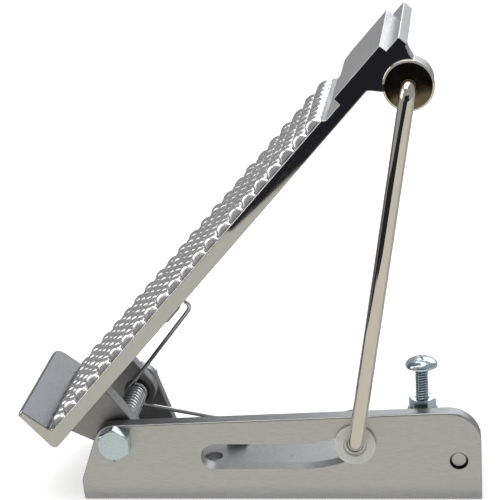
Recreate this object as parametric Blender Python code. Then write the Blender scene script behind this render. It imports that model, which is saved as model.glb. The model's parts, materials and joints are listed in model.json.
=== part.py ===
"""Foot throttle pedal: a slotted cast base, a hinged cast pedal with a return spring, a bent
link rod, a slider that runs in the base slot, a cable clevis and anchor, and a stop screw.

Frame: +X runs along the base from heel to toe, +Y runs across it, +Z is up. The origin is on the
base underside, straight below the hinge axis and midway across the base. All sizes below are in
millimetres; they become metres where a mesh is made.
"""
import math

import bmesh
import bpy
from mathutils import Vector

MM = 0.001
GAP = 0.3                      # clearance kept between touching pieces

# Base casting
BASE_HEEL_X = -17.8
BASE_TOE_X = 173.0
BASE_HALF_WIDTH = 37.0
FLOOR_THICKNESS = 6.4
NEAR_WALL = 7.4
FAR_WALL = 6.4
HINGE_HEIGHT = 31.0
WALL_KINK = (-18.3, 10.1)
EAR_LEAN = math.radians(20.0)
NEAR_TOP_AT_HINGE = 38.7
NEAR_TOP_SLOPE = 0.0365
FAR_EAR_TOP = 41.3
FAR_EAR_LEAN = math.radians(18.3)
FAR_EAR_OFFSET = 9.6
MOUNT_HOLE_RADIUS = 4.4
MOUNT_HOLES = ((41.0, -3.0), (118.0, -18.0), (118.0, 18.0))

# Curved slot that guides the slider
SLOT_HALF_WIDTH = 6.5
SLOT_HEEL_X = 47.1
SLOT_BEND_X = 88.0
SLOT_Z = 22.4
SLOT_BEND_RADIUS = 54.7
SLIDER_X = 114.3
SLIDER_END_X = 52.3
TRACK_SAGITTA = 3.7

# Hinge
SCREW_ACROSS_FLATS = 14.29
SCREW_HEAD_HEIGHT = 6.0
SCREW_RADIUS = 4.76
ARBOR_RADIUS = 3.1
ARBOR_SEAT_DEPTH = 6.0
BUSH_RADIUS = 6.3
BUSH_FLANGE_RADIUS = 8.2
BUSH_FLANGE = 0.8

# Pedal casting, in the pedal's own frame: u runs from heel to toe, w stands off the foot face
PEDAL_ANGLE = math.radians(47.84)
PEDAL_HALF_WIDTH = 40.0
UNDERSIDE_W = 19.4
RAIL_TOP_W = 26.2
SLAB_TOP_W = 24.7
HEEL_U = -22.3
TOE_U = 236.3
HEEL_WALL_TOP_W = 44.5
HEEL_FAR_CORNER = 7.0
HEEL_NEAR_CORNER = 2.5
TREAD_START_U = -15.0
TREAD_PITCH = 9.15
TREAD_ROWS = 22
TREAD_HEIGHT = 4.2
TREAD_END_U = 186.5
TOE_PLATE = (197.0, 228.0)
TOE_PLATE_CORNER = 7.0
TOE_PLATE_TOP_W = 28.4
LUG_RADIUS = 9.4
LUG_ROOT = (-16.0, 13.5)
NEAR_LUG_THICKNESS = 9.3
FAR_LUG_THICKNESS = 7.0
BOSS_U = 223.0
BOSS_W = 7.4
BOSS_RADIUS = 11.0
BOSS_THICKNESS = 12.5
BOSS_BORE_RADIUS = 5.6
SPRING_PAD = (41.0, 55.0)
SPRING_PAD_DEPTH = 7.2

# Return spring
WIRE_RADIUS = 1.05
COIL_RADIUS = 4.5
COIL_PITCH = 3.2
COIL_START_Y = -16.6
COIL_END_Y = 17.3
LOWER_LEG_LENGTH = 57.0
LOWER_LEG_DROP = math.radians(11.4)
UPPER_LEG_Y = 20.1
UPPER_LEG_LENGTH = 53.0

# Link rod
ROD_RADIUS = 3.6
ROD_Y = -46.0
ROD_BEND_RADIUS = 5.0
ROD_FOOT_SHIFT = (0.6, 2.4)     # the rod rides high in the bushing, pulled up by the spring
DISC_RADIUS = 11.5
DISC_THICKNESS = 1.6

# Slider and cable clevis
BUSHING_FLANGE_RADIUS = 9.8
BUSHING_FLANGE = 2.2
BUSHING_RECESS_RADIUS = 5.5
BUSHING_RECESS = 1.2
SLEEVE_RADIUS = 5.0
PIN_RADIUS = 3.7
CLIP_RIM = 2.0
WASHER_RADIUS = 11.5
WASHER_RISE = 2.0
CLEVIS_EYE_Y = -20.0
CLEVIS_EYE_HALF = 2.5
CLEVIS_EYE_RADIUS = 6.0
CABLE_Y = -11.2
CLEVIS_BARREL_RADIUS = 3.5
CLEVIS_REACH = 20.0

# Cable anchor
ANCHOR_X = 162.5
ANCHOR_Z = 20.0
ANCHOR_PIN_RADIUS = 3.75
ANCHOR_PIN_RECESS = 1.8
ANCHOR_PIN_RISE = 0.3
ANCHOR_PIN_END_Y = -15.6
ANCHOR_HOLE_RADIUS = 4.35
ANCHOR_BLOCK_X = (155.5, 168.5)
ANCHOR_BLOCK_Z = (12.0, 27.0)
ANCHOR_BLOCK_HALF_WIDTH = 7.5
ANCHOR_BORE_RADIUS = 3.2
SET_SCREW_RADIUS = 2.4

# Stop screw
STOP_X = 145.8
STOP_Y = -21.5
STOP_BOSS_RADIUS = 7.1
STOP_BOSS_TOP = 41.1
STOP_RADIUS = 3.175
STOP_LENGTH = 38.1
STOP_SEAT_Z = 61.8
STOP_HEAD_RADIUS = 7.6
STOP_HEAD_HEIGHT = 4.3
STOP_HEAD_RIM = 0.8
JAM_NUT_ACROSS_FLATS = 11.11
JAM_NUT_HEIGHT = 4.6
JAM_NUT_TURN = math.radians(-6.3)

# Worked out from the sizes above
NEAR_FACE = -BASE_HALF_WIDTH
NEAR_INNER = NEAR_FACE + NEAR_WALL
FAR_INNER = BASE_HALF_WIDTH - FAR_WALL
NEAR_LUG_Y = NEAR_INNER + 2 * GAP + BUSH_FLANGE
FAR_LUG_Y = FAR_INNER - 2 * GAP - BUSH_FLANGE
BUSHING_FACE_Y = NEAR_FACE - GAP - BUSHING_FLANGE
PIN_END_Y = CLEVIS_EYE_Y + CLEVIS_EYE_HALF + 2.3
SLIDER_Z = SLOT_Z + SLOT_BEND_RADIUS - math.sqrt(
    SLOT_BEND_RADIUS ** 2 - (SLIDER_X - SLOT_BEND_X) ** 2)
BOSS_X = BOSS_U * math.cos(PEDAL_ANGLE) - BOSS_W * math.sin(PEDAL_ANGLE)
BOSS_Z = HINGE_HEIGHT + BOSS_U * math.sin(PEDAL_ANGLE) + BOSS_W * math.cos(PEDAL_ANGLE)
FOOT_X = SLIDER_X + ROD_FOOT_SHIFT[0]
FOOT_Z = SLIDER_Z + ROD_FOOT_SHIFT[1]
ROD_LENGTH = math.hypot(BOSS_X - FOOT_X, BOSS_Z - FOOT_Z)
ROD_LEAN = math.atan2(BOSS_X - FOOT_X, BOSS_Z - FOOT_Z)


def track_centre():
    """Centre of the shallow arc that the slider follows along the slot."""
    run = SLIDER_X - SLIDER_END_X
    rise = SLIDER_Z - SLOT_Z
    chord = math.hypot(run, rise)
    radius = chord ** 2 / (8 * TRACK_SAGITTA) + TRACK_SAGITTA / 2
    reach = radius - TRACK_SAGITTA
    middle_x = (SLIDER_X + SLIDER_END_X) / 2
    middle_z = (SLIDER_Z + SLOT_Z) / 2
    return middle_x - rise / chord * reach, middle_z + run / chord * reach


# ---------------------------------------------------------------- scene and materials

def clear_scene():
    for item in list(bpy.data.objects):
        bpy.data.objects.remove(item, do_unlink=True)


def finish(name, colour, roughness, metallic):
    made = bpy.data.materials.new(name)
    made.use_nodes = True
    shader = made.node_tree.nodes["Principled BSDF"]
    shader.inputs["Base Color"].default_value = (*colour, 1.0)
    shader.inputs["Roughness"].default_value = roughness
    shader.inputs["Metallic"].default_value = metallic
    return made


def axis_empty(name, position, turn=0.0):
    """An empty on a joint's axis; its children are modelled around it."""
    empty = bpy.data.objects.new(name, None)
    empty.location = Vector(position) * MM
    empty.rotation_euler = (0.0, turn, 0.0)
    bpy.context.collection.objects.link(empty)
    return empty


# ---------------------------------------------------------------- mesh helpers

def solid(name, points, faces, look=None, parent=None):
    """A closed mesh object from points in millimetres."""
    mesh = bpy.data.meshes.new(name)
    mesh.from_pydata([Vector(point) * MM for point in points], [], faces)
    work = bmesh.new()
    work.from_mesh(mesh)
    bmesh.ops.recalc_face_normals(work, faces=work.faces)
    work.to_mesh(mesh)
    work.free()
    mesh.shade_smooth()
    mesh.set_sharp_from_angle(angle=math.radians(32))
    item = bpy.data.objects.new(name, mesh)
    bpy.context.collection.objects.link(item)
    item.parent = parent
    if look is not None:
        mesh.materials.append(look)
    return item


def prism(name, outline, low, high, look=None, parent=None, axis="Y"):
    """Extrude an outline of two coordinates along Y, X or Z from low to high."""
    place = {"Y": lambda a, b, t: (a, t, b), "X": lambda a, b, t: (t, a, b),
             "Z": lambda a, b, t: (a, b, t)}[axis]
    count = len(outline)
    points = [place(a, b, low) for a, b in outline] + [place(a, b, high) for a, b in outline]
    faces = [list(range(count))[::-1], list(range(count, 2 * count))]
    for i in range(count):
        j = (i + 1) % count
        faces.append([i, j, count + j, count + i])
    return solid(name, points, faces, look, parent)


def turned(name, profile, centre, look=None, parent=None, axis="Y", steps=32):
    """Turn a profile of (radius, distance along the axis); radius 0 closes an end."""
    place = {"Y": lambda r, t, a: (r * math.cos(a), t, r * math.sin(a)),
             "X": lambda r, t, a: (t, r * math.cos(a), r * math.sin(a)),
             "Z": lambda r, t, a: (r * math.cos(a), r * math.sin(a), t)}[axis]
    points = []
    rings = []
    for radius, along in profile:
        if radius == 0:
            rings.append([len(points)] * steps)
            points.append(Vector(place(0, along, 0)) + Vector(centre))
            continue
        rings.append(list(range(len(points), len(points) + steps)))
        for step in range(steps):
            angle = math.tau * step / steps
            points.append(Vector(place(radius, along, angle)) + Vector(centre))
    closed = profile[0][0] != 0
    pairs = list(zip(rings, rings[1:] + rings[:1] if closed else rings[1:]))
    faces = []
    for first, second in pairs:
        for step in range(steps):
            nxt = (step + 1) % steps
            corners = [first[step], first[nxt], second[nxt], second[step]]
            faces.append(list(dict.fromkeys(corners)))
    return solid(name, points, faces, look, parent)


def ring(name, inner, outer, low, high, centre, look=None, parent=None, axis="Y"):
    profile = [(inner, low), (outer, low), (outer, high), (inner, high)]
    return turned(name, profile, centre, look, parent, axis)


def rod_solid(name, radius, low, high, centre, look=None, parent=None, axis="Y"):
    profile = [(0, low), (radius, low), (radius, high), (0, high)]
    return turned(name, profile, centre, look, parent, axis)


def swept(name, path, radius, sides, look=None, parent=None):
    """A round bar along a path, with flat ends."""
    path = [Vector(point) for point in path]
    tangents = []
    for i, point in enumerate(path):
        before = path[max(i - 1, 0)]
        after = path[min(i + 1, len(path) - 1)]
        tangents.append((after - before).normalized())
    side = tangents[0].orthogonal().normalized()
    points = []
    for point, tangent in zip(path, tangents):
        side = (side - tangent * side.dot(tangent)).normalized()
        other = tangent.cross(side)
        for k in range(sides):
            angle = math.tau * k / sides
            points.append(point + (side * math.cos(angle) + other * math.sin(angle)) * radius)
    faces = [list(range(sides))[::-1], list(range(len(points) - sides, len(points)))]
    for i in range(len(path) - 1):
        for k in range(sides):
            j = (k + 1) % sides
            base = i * sides
            faces.append([base + k, base + j, base + sides + j, base + sides + k])
    return solid(name, points, faces, look, parent)


def combine(target, tool, operation):
    """Cut or join with an EXACT Boolean; the tool stays as a hidden wire guide."""
    step = target.modifiers.new(tool.name, "BOOLEAN")
    step.operation = operation
    step.solver = "EXACT"
    step.object = tool
    tool.hide_render = True
    tool.display_type = "WIRE"


def cut(target, tool):
    combine(target, tool, "DIFFERENCE")


def join(target, tool):
    combine(target, tool, "UNION")


def filleted(corners, steps=6):
    """Outline from (a, b, radius) corners, each rounded by its own radius."""
    outline = []
    count = len(corners)
    for i, (a, b, radius) in enumerate(corners):
        here = Vector((a, b))
        before = (Vector(corners[i - 1][:2]) - here).normalized()
        after = (Vector(corners[(i + 1) % count][:2]) - here).normalized()
        if radius == 0:
            outline.append(tuple(here))
            continue
        half = before.angle(after) / 2
        centre = here + (before + after).normalized() * (radius / math.sin(half))
        start = here + before * (radius / math.tan(half)) - centre
        end = here + after * (radius / math.tan(half)) - centre
        sweep = math.pi - 2 * half
        turn = math.copysign(sweep, start.x * end.y - start.y * end.x)
        for k in range(steps + 1):
            c, s = math.cos(turn * k / steps), math.sin(turn * k / steps)
            outline.append((centre.x + start.x * c - start.y * s,
                            centre.y + start.x * s + start.y * c))
    return outline


def hexagon(across_flats, centre, turn=0.0):
    radius = across_flats / math.sqrt(3)
    return [(centre[0] + radius * math.cos(turn + math.pi / 3 * k),
             centre[1] + radius * math.sin(turn + math.pi / 3 * k)) for k in range(6)]


def open_clip(inner, outer, centre, opening=1.1, steps=18):
    """Outline of a retaining clip: a flat ring with a gap in its top."""
    start = math.pi / 2 + opening / 2
    sweep = math.tau - opening
    angles = [start + sweep * k / steps for k in range(steps + 1)]
    outline = [(centre[0] + outer * math.cos(a), centre[1] + outer * math.sin(a)) for a in angles]
    outline += [(centre[0] + inner * math.cos(a), centre[1] + inner * math.sin(a))
                for a in reversed(angles)]
    return outline


# ---------------------------------------------------------------- base

def wall_x(height):
    """Where the leaning heel edge of a base wall is at a height."""
    return WALL_KINK[0] + (height - WALL_KINK[1]) * math.tan(EAR_LEAN)


def near_top(x):
    return NEAR_TOP_AT_HINGE + NEAR_TOP_SLOPE * x


def near_flange_outline():
    heel_top = near_top(wall_x(NEAR_TOP_AT_HINGE))
    return filleted([
        (BASE_HEEL_X, 0.0, 1.2),
        (*WALL_KINK, 6.0),
        (wall_x(heel_top), heel_top, 10.0),
        (BASE_TOE_X, near_top(BASE_TOE_X), 15.0),
        (BASE_TOE_X, 0.0, 1.2),
    ])


def far_ear_outline():
    def toe_side(height):
        return FAR_EAR_OFFSET - (height - HINGE_HEIGHT) * math.tan(FAR_EAR_LEAN)
    return filleted([
        (BASE_HEEL_X, 0.0, 1.2),
        (*WALL_KINK, 6.0),
        (wall_x(FAR_EAR_TOP), FAR_EAR_TOP, 9.0),
        (toe_side(FAR_EAR_TOP), FAR_EAR_TOP, 9.0),
        (toe_side(0.0), 0.0, 0.0),
    ])


def slot_outline(steps=8):
    """Half straight, half rising on an arc, with round ends."""
    bend_end = math.asin((SLIDER_X - SLOT_BEND_X) / SLOT_BEND_RADIUS)
    headings = [0.0] + [bend_end * k / steps for k in range(steps + 1)]
    spine = [(SLOT_HEEL_X, SLOT_Z)]
    for k in range(steps + 1):
        turn = bend_end * k / steps
        spine.append((SLOT_BEND_X + SLOT_BEND_RADIUS * math.sin(turn),
                      SLOT_Z + SLOT_BEND_RADIUS * (1 - math.cos(turn))))

    def offset(index, angle):
        x, z = spine[index]
        return (x + SLOT_HALF_WIDTH * math.cos(angle), z + SLOT_HALF_WIDTH * math.sin(angle))

    outline = [offset(i, headings[i] - math.pi / 2) for i in range(len(spine))]
    outline += [offset(-1, bend_end - math.pi / 2 + math.pi * k / steps)
                for k in range(1, steps)]
    outline += [offset(i, headings[i] + math.pi / 2) for i in reversed(range(len(spine)))]
    outline += [offset(0, math.pi / 2 + math.pi * k / steps) for k in range(1, steps)]
    return outline


def make_base(cast):
    floor = [(BASE_HEEL_X + 0.3, -BASE_HALF_WIDTH), (BASE_TOE_X, -BASE_HALF_WIDTH),
             (BASE_TOE_X, BASE_HALF_WIDTH - 8), (BASE_TOE_X - 8, BASE_HALF_WIDTH),
             (BASE_HEEL_X + 0.3, BASE_HALF_WIDTH)]
    base = prism("base_casting", floor, 0.0, FLOOR_THICKNESS, cast, axis="Z")
    join(base, prism("guide_near_flange", near_flange_outline(), NEAR_FACE, NEAR_INNER))
    join(base, prism("guide_far_ear", far_ear_outline(), FAR_INNER, BASE_HALF_WIDTH))
    join(base, rod_solid("guide_stop_boss", STOP_BOSS_RADIUS, FLOOR_THICKNESS - 2, STOP_BOSS_TOP,
                         (STOP_X, STOP_Y, 0), axis="Z"))
    web = [(STOP_X - 4, NEAR_INNER - 2), (STOP_X + 4, NEAR_INNER - 2),
           (STOP_X + 4, STOP_Y), (STOP_X - 4, STOP_Y)]
    join(base, prism("guide_stop_web", web, FLOOR_THICKNESS - 2, STOP_BOSS_TOP - 1.5, axis="Z"))
    drop = math.tan(LOWER_LEG_DROP)
    under_leg = HINGE_HEIGHT - (COIL_RADIUS + WIRE_RADIUS + GAP) / math.cos(LOWER_LEG_DROP)
    seat = [(45.0, FLOOR_THICKNESS - 2), (58.0, FLOOR_THICKNESS - 2),
            (55.0, under_leg - 55.0 * drop), (48.5, under_leg - 48.5 * drop)]
    join(base, prism("guide_spring_seat", seat, COIL_END_Y - 6, COIL_END_Y + 6))

    cut(base, prism("guide_slot", slot_outline(), NEAR_FACE - 5, NEAR_INNER + 3))
    hinge_cutter = rod_solid("guide_hinge_hole", SCREW_RADIUS + GAP, -BASE_HALF_WIDTH - 5,
                             BASE_HALF_WIDTH + 5, (0, 0, HINGE_HEIGHT))
    cut(base, hinge_cutter)
    cut(base, rod_solid("guide_anchor_hole", ANCHOR_HOLE_RADIUS, NEAR_FACE - 5, NEAR_INNER + 3,
                        (ANCHOR_X, 0, ANCHOR_Z)))
    cut(base, rod_solid("guide_stop_bore", STOP_RADIUS + GAP, -5, STOP_BOSS_TOP + 5,
                        (STOP_X, STOP_Y, 0), axis="Z"))
    for number, (x, y) in enumerate(MOUNT_HOLES):
        cut(base, rod_solid(f"guide_mount_hole_{number}", MOUNT_HOLE_RADIUS, -5,
                            FLOOR_THICKNESS + 5, (x, y, 0), axis="Z"))


def make_hinge_screw(name, side, lug_face, zinc):
    """Hex cap screw through an ear and its lug; side is -1 at the near wall, 1 at the far wall."""
    seat = side * (BASE_HALF_WIDTH + GAP)
    crown = seat + side * SCREW_HEAD_HEIGHT
    head = prism(name, hexagon(SCREW_ACROSS_FLATS, (0, HINGE_HEIGHT), math.pi / 6),
                 min(seat, crown), max(seat, crown), zinc)
    inside = lug_face
    join(head, rod_solid(f"guide_{name}_shank", SCREW_RADIUS, min(inside, crown - side * 2),
                         max(inside, crown - side * 2), (0, 0, HINGE_HEIGHT)))
    bottom = inside + side * ARBOR_SEAT_DEPTH
    cut(head, rod_solid(f"guide_{name}_seat", ARBOR_RADIUS + GAP, min(bottom, inside - side * 3),
                        max(bottom, inside - side * 3), (0, 0, HINGE_HEIGHT)))
    return inside + side * (ARBOR_SEAT_DEPTH - GAP)


def make_hinge(zinc, steel):
    near_end = make_hinge_screw("hinge_screw_near", -1, NEAR_LUG_Y + NEAR_LUG_THICKNESS, zinc)
    far_end = make_hinge_screw("hinge_screw_far", 1, FAR_LUG_Y - FAR_LUG_THICKNESS, zinc)
    rod_solid("spring_arbor", ARBOR_RADIUS, near_end, far_end, (0, 0, HINGE_HEIGHT), steel)


def make_coil(steel):
    """Coil about the hinge axis, ending in the leg that rests on the base."""
    leg_angle = -math.pi / 2 - LOWER_LEG_DROP
    turns = (COIL_END_Y - COIL_START_Y) / COIL_PITCH
    steps = round(turns * 14)
    path = []
    for k in range(steps + 1):
        share = k / steps
        angle = leg_angle - math.tau * turns * (1 - share)
        path.append((COIL_RADIUS * math.cos(angle), COIL_START_Y + share * turns * COIL_PITCH,
                     HINGE_HEIGHT + COIL_RADIUS * math.sin(angle)))
    foot = Vector(path[-1])
    heading = Vector((math.cos(LOWER_LEG_DROP), 0, -math.sin(LOWER_LEG_DROP)))
    path += [foot + heading * (LOWER_LEG_LENGTH * k / 4) for k in range(1, 5)]
    swept("spring_coil", path, WIRE_RADIUS, 6, steel)


def make_stop(zinc):
    nut = prism("stop_jam_nut", hexagon(JAM_NUT_ACROSS_FLATS, (STOP_X, STOP_Y), JAM_NUT_TURN),
                STOP_BOSS_TOP + GAP, STOP_BOSS_TOP + GAP + JAM_NUT_HEIGHT, zinc, axis="Z")
    cut(nut, rod_solid("guide_nut_bore", STOP_RADIUS + GAP, STOP_BOSS_TOP - 2,
                       STOP_BOSS_TOP + JAM_NUT_HEIGHT + 3, (STOP_X, STOP_Y, 0), axis="Z"))
    axis = axis_empty("stop_axis", (STOP_X, STOP_Y, STOP_SEAT_Z))
    dome = [(0, -STOP_LENGTH), (STOP_RADIUS - 0.6, -STOP_LENGTH),
            (STOP_RADIUS, -STOP_LENGTH + 0.8), (STOP_RADIUS, 0), (STOP_HEAD_RADIUS - 0.5, 0)]
    for k in range(6):
        angle = math.pi / 2 * k / 6
        dome.append((STOP_HEAD_RADIUS * math.cos(angle),
                     STOP_HEAD_RIM + (STOP_HEAD_HEIGHT - STOP_HEAD_RIM) * math.sin(angle)))
    dome.append((0, STOP_HEAD_HEIGHT))
    turned("stop_screw", dome, (0, 0, 0), zinc, axis, axis="Z", steps=24)


def make_anchor(steel, cast, spring_steel):
    """Pin, clip, spacer and block that hold the outer end of the control cable."""
    groove = NEAR_INNER + GAP
    core = ANCHOR_PIN_RADIUS - 0.7
    profile = [(0, NEAR_FACE + ANCHOR_PIN_RECESS), (ANCHOR_PIN_RADIUS, NEAR_FACE + ANCHOR_PIN_RECESS),
               (ANCHOR_PIN_RADIUS, groove), (core, groove), (core, groove + 1.0),
               (ANCHOR_PIN_RADIUS, groove + 1.0), (ANCHOR_PIN_RADIUS, ANCHOR_PIN_END_Y),
               (0, ANCHOR_PIN_END_Y)]
    height = ANCHOR_Z + ANCHOR_PIN_RISE
    centre = (ANCHOR_X, 0, height)
    turned("cable_anchor_pin", profile, centre, steel)
    prism("anchor_clip", open_clip(core + GAP, ANCHOR_PIN_RADIUS + CLIP_RIM, (ANCHOR_X, height)),
          groove + 0.1, groove + 0.9, spring_steel)
    block_near = CABLE_Y - ANCHOR_BLOCK_HALF_WIDTH
    block_far = CABLE_Y + ANCHOR_BLOCK_HALF_WIDTH
    ring("anchor_spacer", ANCHOR_PIN_RADIUS + GAP, 5.8, groove + 1.3, block_near - GAP, centre,
         steel)
    low, high = ANCHOR_BLOCK_Z
    sides = filleted([(ANCHOR_BLOCK_X[0], low, 2.5), (ANCHOR_BLOCK_X[0], high, 1.5),
                      (ANCHOR_BLOCK_X[1], high, 1.5), (ANCHOR_BLOCK_X[1], low, 2.5)], 3)
    block = prism("cable_anchor_block", sides, block_near, block_far, cast)
    cut(block, rod_solid("guide_block_pin_hole", ANCHOR_PIN_RADIUS + GAP, block_near - 3,
                         ANCHOR_PIN_END_Y + GAP, centre))
    middle = sum(ANCHOR_BLOCK_X) / 2
    cut(block, rod_solid("guide_block_bore", ANCHOR_BORE_RADIUS, ANCHOR_BLOCK_X[0] - 5,
                         ANCHOR_BLOCK_X[1] + 5, (0, CABLE_Y, ANCHOR_Z), axis="X"))
    cut(block, rod_solid("guide_set_hole", SET_SCREW_RADIUS + GAP, ANCHOR_Z + 1,
                         high + 3, (middle, CABLE_Y, 0), axis="Z"))
    screw = rod_solid("anchor_set_screw", SET_SCREW_RADIUS, ANCHOR_Z + ANCHOR_BORE_RADIUS + GAP,
                      high + 0.5, (middle, CABLE_Y, 0), steel, axis="Z")
    cut(screw, prism("guide_set_socket", hexagon(2.5, (middle, CABLE_Y)), high - 1.5, high + 3,
                     axis="Z"))


# ---------------------------------------------------------------- pedal

def pedal_outline():
    """Side outline of the casting: heel wall, ribbed tread, smooth end, raised toe plate, lip."""
    points = [(HEEL_U, UNDERSIDE_W, 2.6), (TOE_U, UNDERSIDE_W, 0.0), (TOE_U, SLAB_TOP_W, 0.0),
              (TOE_PLATE[1] + 0.3, SLAB_TOP_W, 0.0), (TOE_PLATE[1], TOE_PLATE_TOP_W, 0.0),
              (TOE_PLATE[0], TOE_PLATE_TOP_W, 0.0), (TOE_PLATE[0] - 0.3, SLAB_TOP_W, 0.0),
              (TREAD_END_U + 1.0, SLAB_TOP_W, 0.0), (TREAD_END_U, RAIL_TOP_W, 0.0)]
    for row in reversed(range(TREAD_ROWS)):
        start = TREAD_START_U + row * TREAD_PITCH
        points += [(start + TREAD_PITCH * 0.94, RAIL_TOP_W, 0.0),
                   (start + TREAD_PITCH * 0.74, RAIL_TOP_W + TREAD_HEIGHT, 0.0),
                   (start + TREAD_PITCH * 0.34, RAIL_TOP_W + TREAD_HEIGHT, 0.0),
                   (start + TREAD_PITCH * 0.10, RAIL_TOP_W, 0.0)]
    points += [(-15.4, RAIL_TOP_W, 0.0), (-16.9, HEEL_WALL_TOP_W - 0.8, 0.9),
               (-19.7, HEEL_WALL_TOP_W, 1.0)]
    return filleted(points, 4)


def wall_corner(side, radius):
    """Cutter outline, in y and w, that rounds one top corner of the heel wall."""
    edge = side * PEDAL_HALF_WIDTH
    outline = [(edge + side * 2, HEEL_WALL_TOP_W + 2), (edge + side * 2, HEEL_WALL_TOP_W - radius)]
    for k in range(7):
        angle = math.pi / 2 * k / 6
        outline.append((edge - side * radius * (1 - math.cos(angle)),
                        HEEL_WALL_TOP_W - radius * (1 - math.sin(angle))))
    return outline + [(edge - side * radius, HEEL_WALL_TOP_W + 2)]


def lug_outline():
    """A round eye about the hinge that widens into the underside of the pedal."""
    def tangent_angle(u, w, side):
        reach = math.hypot(u, w)
        return math.atan2(w, u) + side * math.acos(LUG_RADIUS / reach)
    root = UNDERSIDE_W + 1.5
    heel = tangent_angle(LUG_ROOT[0], root, 1)
    toe = tangent_angle(LUG_ROOT[1], root, -1) + math.tau
    steps = 16
    outline = [(LUG_ROOT[0], root)]
    for k in range(steps + 1):
        angle = heel + (toe - heel) * k / steps
        outline.append((LUG_RADIUS * math.cos(angle), LUG_RADIUS * math.sin(angle)))
    return outline + [(LUG_ROOT[1], root)]


def make_pedal(axis, cast, bronze, steel):
    edge = -PEDAL_HALF_WIDTH
    pedal = prism("pedal_casting", pedal_outline(), edge, PEDAL_HALF_WIDTH, cast, axis)
    near = (NEAR_LUG_Y, NEAR_LUG_Y + NEAR_LUG_THICKNESS)
    far = (FAR_LUG_Y - FAR_LUG_THICKNESS, FAR_LUG_Y)
    join(pedal, prism("guide_near_lug", lug_outline(), *near, parent=axis))
    join(pedal, prism("guide_far_lug", lug_outline(), *far, parent=axis))
    web = filleted([(206.5, UNDERSIDE_W + 1.5, 0), (209.8, UNDERSIDE_W - 0.5, 4.0),
                    (213.6, 13.4, 0), (BOSS_U, BOSS_W, 0), (232.6, 13.0, 0),
                    (233.6, UNDERSIDE_W - 3.0, 3.0), (TOE_U - 0.2, UNDERSIDE_W + 1.5, 0)], 5)
    join(pedal, prism("guide_boss_web", web, edge, edge + BOSS_THICKNESS, parent=axis))
    join(pedal, rod_solid("guide_boss", BOSS_RADIUS, edge, edge + BOSS_THICKNESS,
                          (BOSS_U, 0, BOSS_W), parent=axis))
    pad_low = UNDERSIDE_W - SPRING_PAD_DEPTH
    pad = filleted([(SPRING_PAD[0] - 4, UNDERSIDE_W + 1.5, 0), (SPRING_PAD[0] + 1, pad_low, 4.0),
                    (SPRING_PAD[1], pad_low, 3.0), (SPRING_PAD[1], UNDERSIDE_W + 1.5, 0)], 5)
    join(pedal, prism("guide_spring_pad", pad, UPPER_LEG_Y - 6, UPPER_LEG_Y + 6, parent=axis))
    for side, radius in ((-1, HEEL_NEAR_CORNER), (1, HEEL_FAR_CORNER)):
        cut(pedal, prism(f"guide_heel_corner_{radius:.0f}", wall_corner(side, radius),
                         HEEL_U - 5, TREAD_START_U - 0.6, parent=axis, axis="X"))
    bevel = [(TOE_PLATE[0] - 2, PEDAL_HALF_WIDTH - TOE_PLATE_CORNER),
             (TOE_PLATE[0] + TOE_PLATE_CORNER, PEDAL_HALF_WIDTH + 2),
             (TOE_PLATE[0] - 2, PEDAL_HALF_WIDTH + 2)]
    cut(pedal, prism("guide_plate_corner", bevel, SLAB_TOP_W + 0.1, TOE_PLATE_TOP_W + 3,
                     parent=axis, axis="Z"))
    cut(pedal, rod_solid("guide_lug_bore", BUSH_RADIUS + GAP, near[0] - 3, far[1] + 3,
                         (0, 0, 0), parent=axis))
    cut(pedal, rod_solid("guide_boss_bore", BOSS_BORE_RADIUS, edge - 3, edge + BOSS_THICKNESS + 3,
                         (BOSS_U, 0, BOSS_W), parent=axis))

    for name, face, side in (("hinge_bush_near", near, -1), ("hinge_bush_far", far, 1)):
        rim = face[0] if side < 0 else face[1]
        back = face[1] if side < 0 else face[0]
        bore = SCREW_RADIUS + GAP
        lip = rim + side * GAP
        profile = [(bore, back), (BUSH_RADIUS, back), (BUSH_RADIUS, lip),
                   (BUSH_FLANGE_RADIUS, lip), (BUSH_FLANGE_RADIUS, lip + side * BUSH_FLANGE),
                   (bore, lip + side * BUSH_FLANGE)]
        turned(name, profile, (0, 0, 0), bronze, axis)
    ring("rod_bush", ROD_RADIUS + GAP, BOSS_BORE_RADIUS - GAP, edge + 0.2,
         edge + BOSS_THICKNESS - 0.2, (BOSS_U, 0, BOSS_W), bronze, axis)
    make_upper_leg(axis, steel)


def make_upper_leg(axis, steel):
    """The end turn and the leg that push the pedal up, hooked round the end of the pad."""
    slope = math.radians(3.5)
    start = slope + math.pi / 2
    path = []
    for k in range(15):
        angle = start + math.radians(320) * (1 - k / 14)
        path.append((COIL_RADIUS * math.cos(angle), UPPER_LEG_Y, COIL_RADIUS * math.sin(angle)))
    heading = Vector((math.cos(slope), 0, math.sin(slope)))
    root = Vector(path[-1])
    path += [root + heading * (UPPER_LEG_LENGTH * k / 5) for k in range(1, 6)]
    corner = Vector(path[-1])
    upward = Vector((-math.sin(slope), 0, math.cos(slope)))
    for k in range(1, 7):
        angle = math.radians(115) * k / 6
        path.append(corner + heading * (3.0 * math.sin(angle)) + upward * (3.0 - 3.0 * math.cos(angle)))
    swept("spring_leg_upper", path, WIRE_RADIUS, 6, steel, axis)


# ---------------------------------------------------------------- link rod

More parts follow.
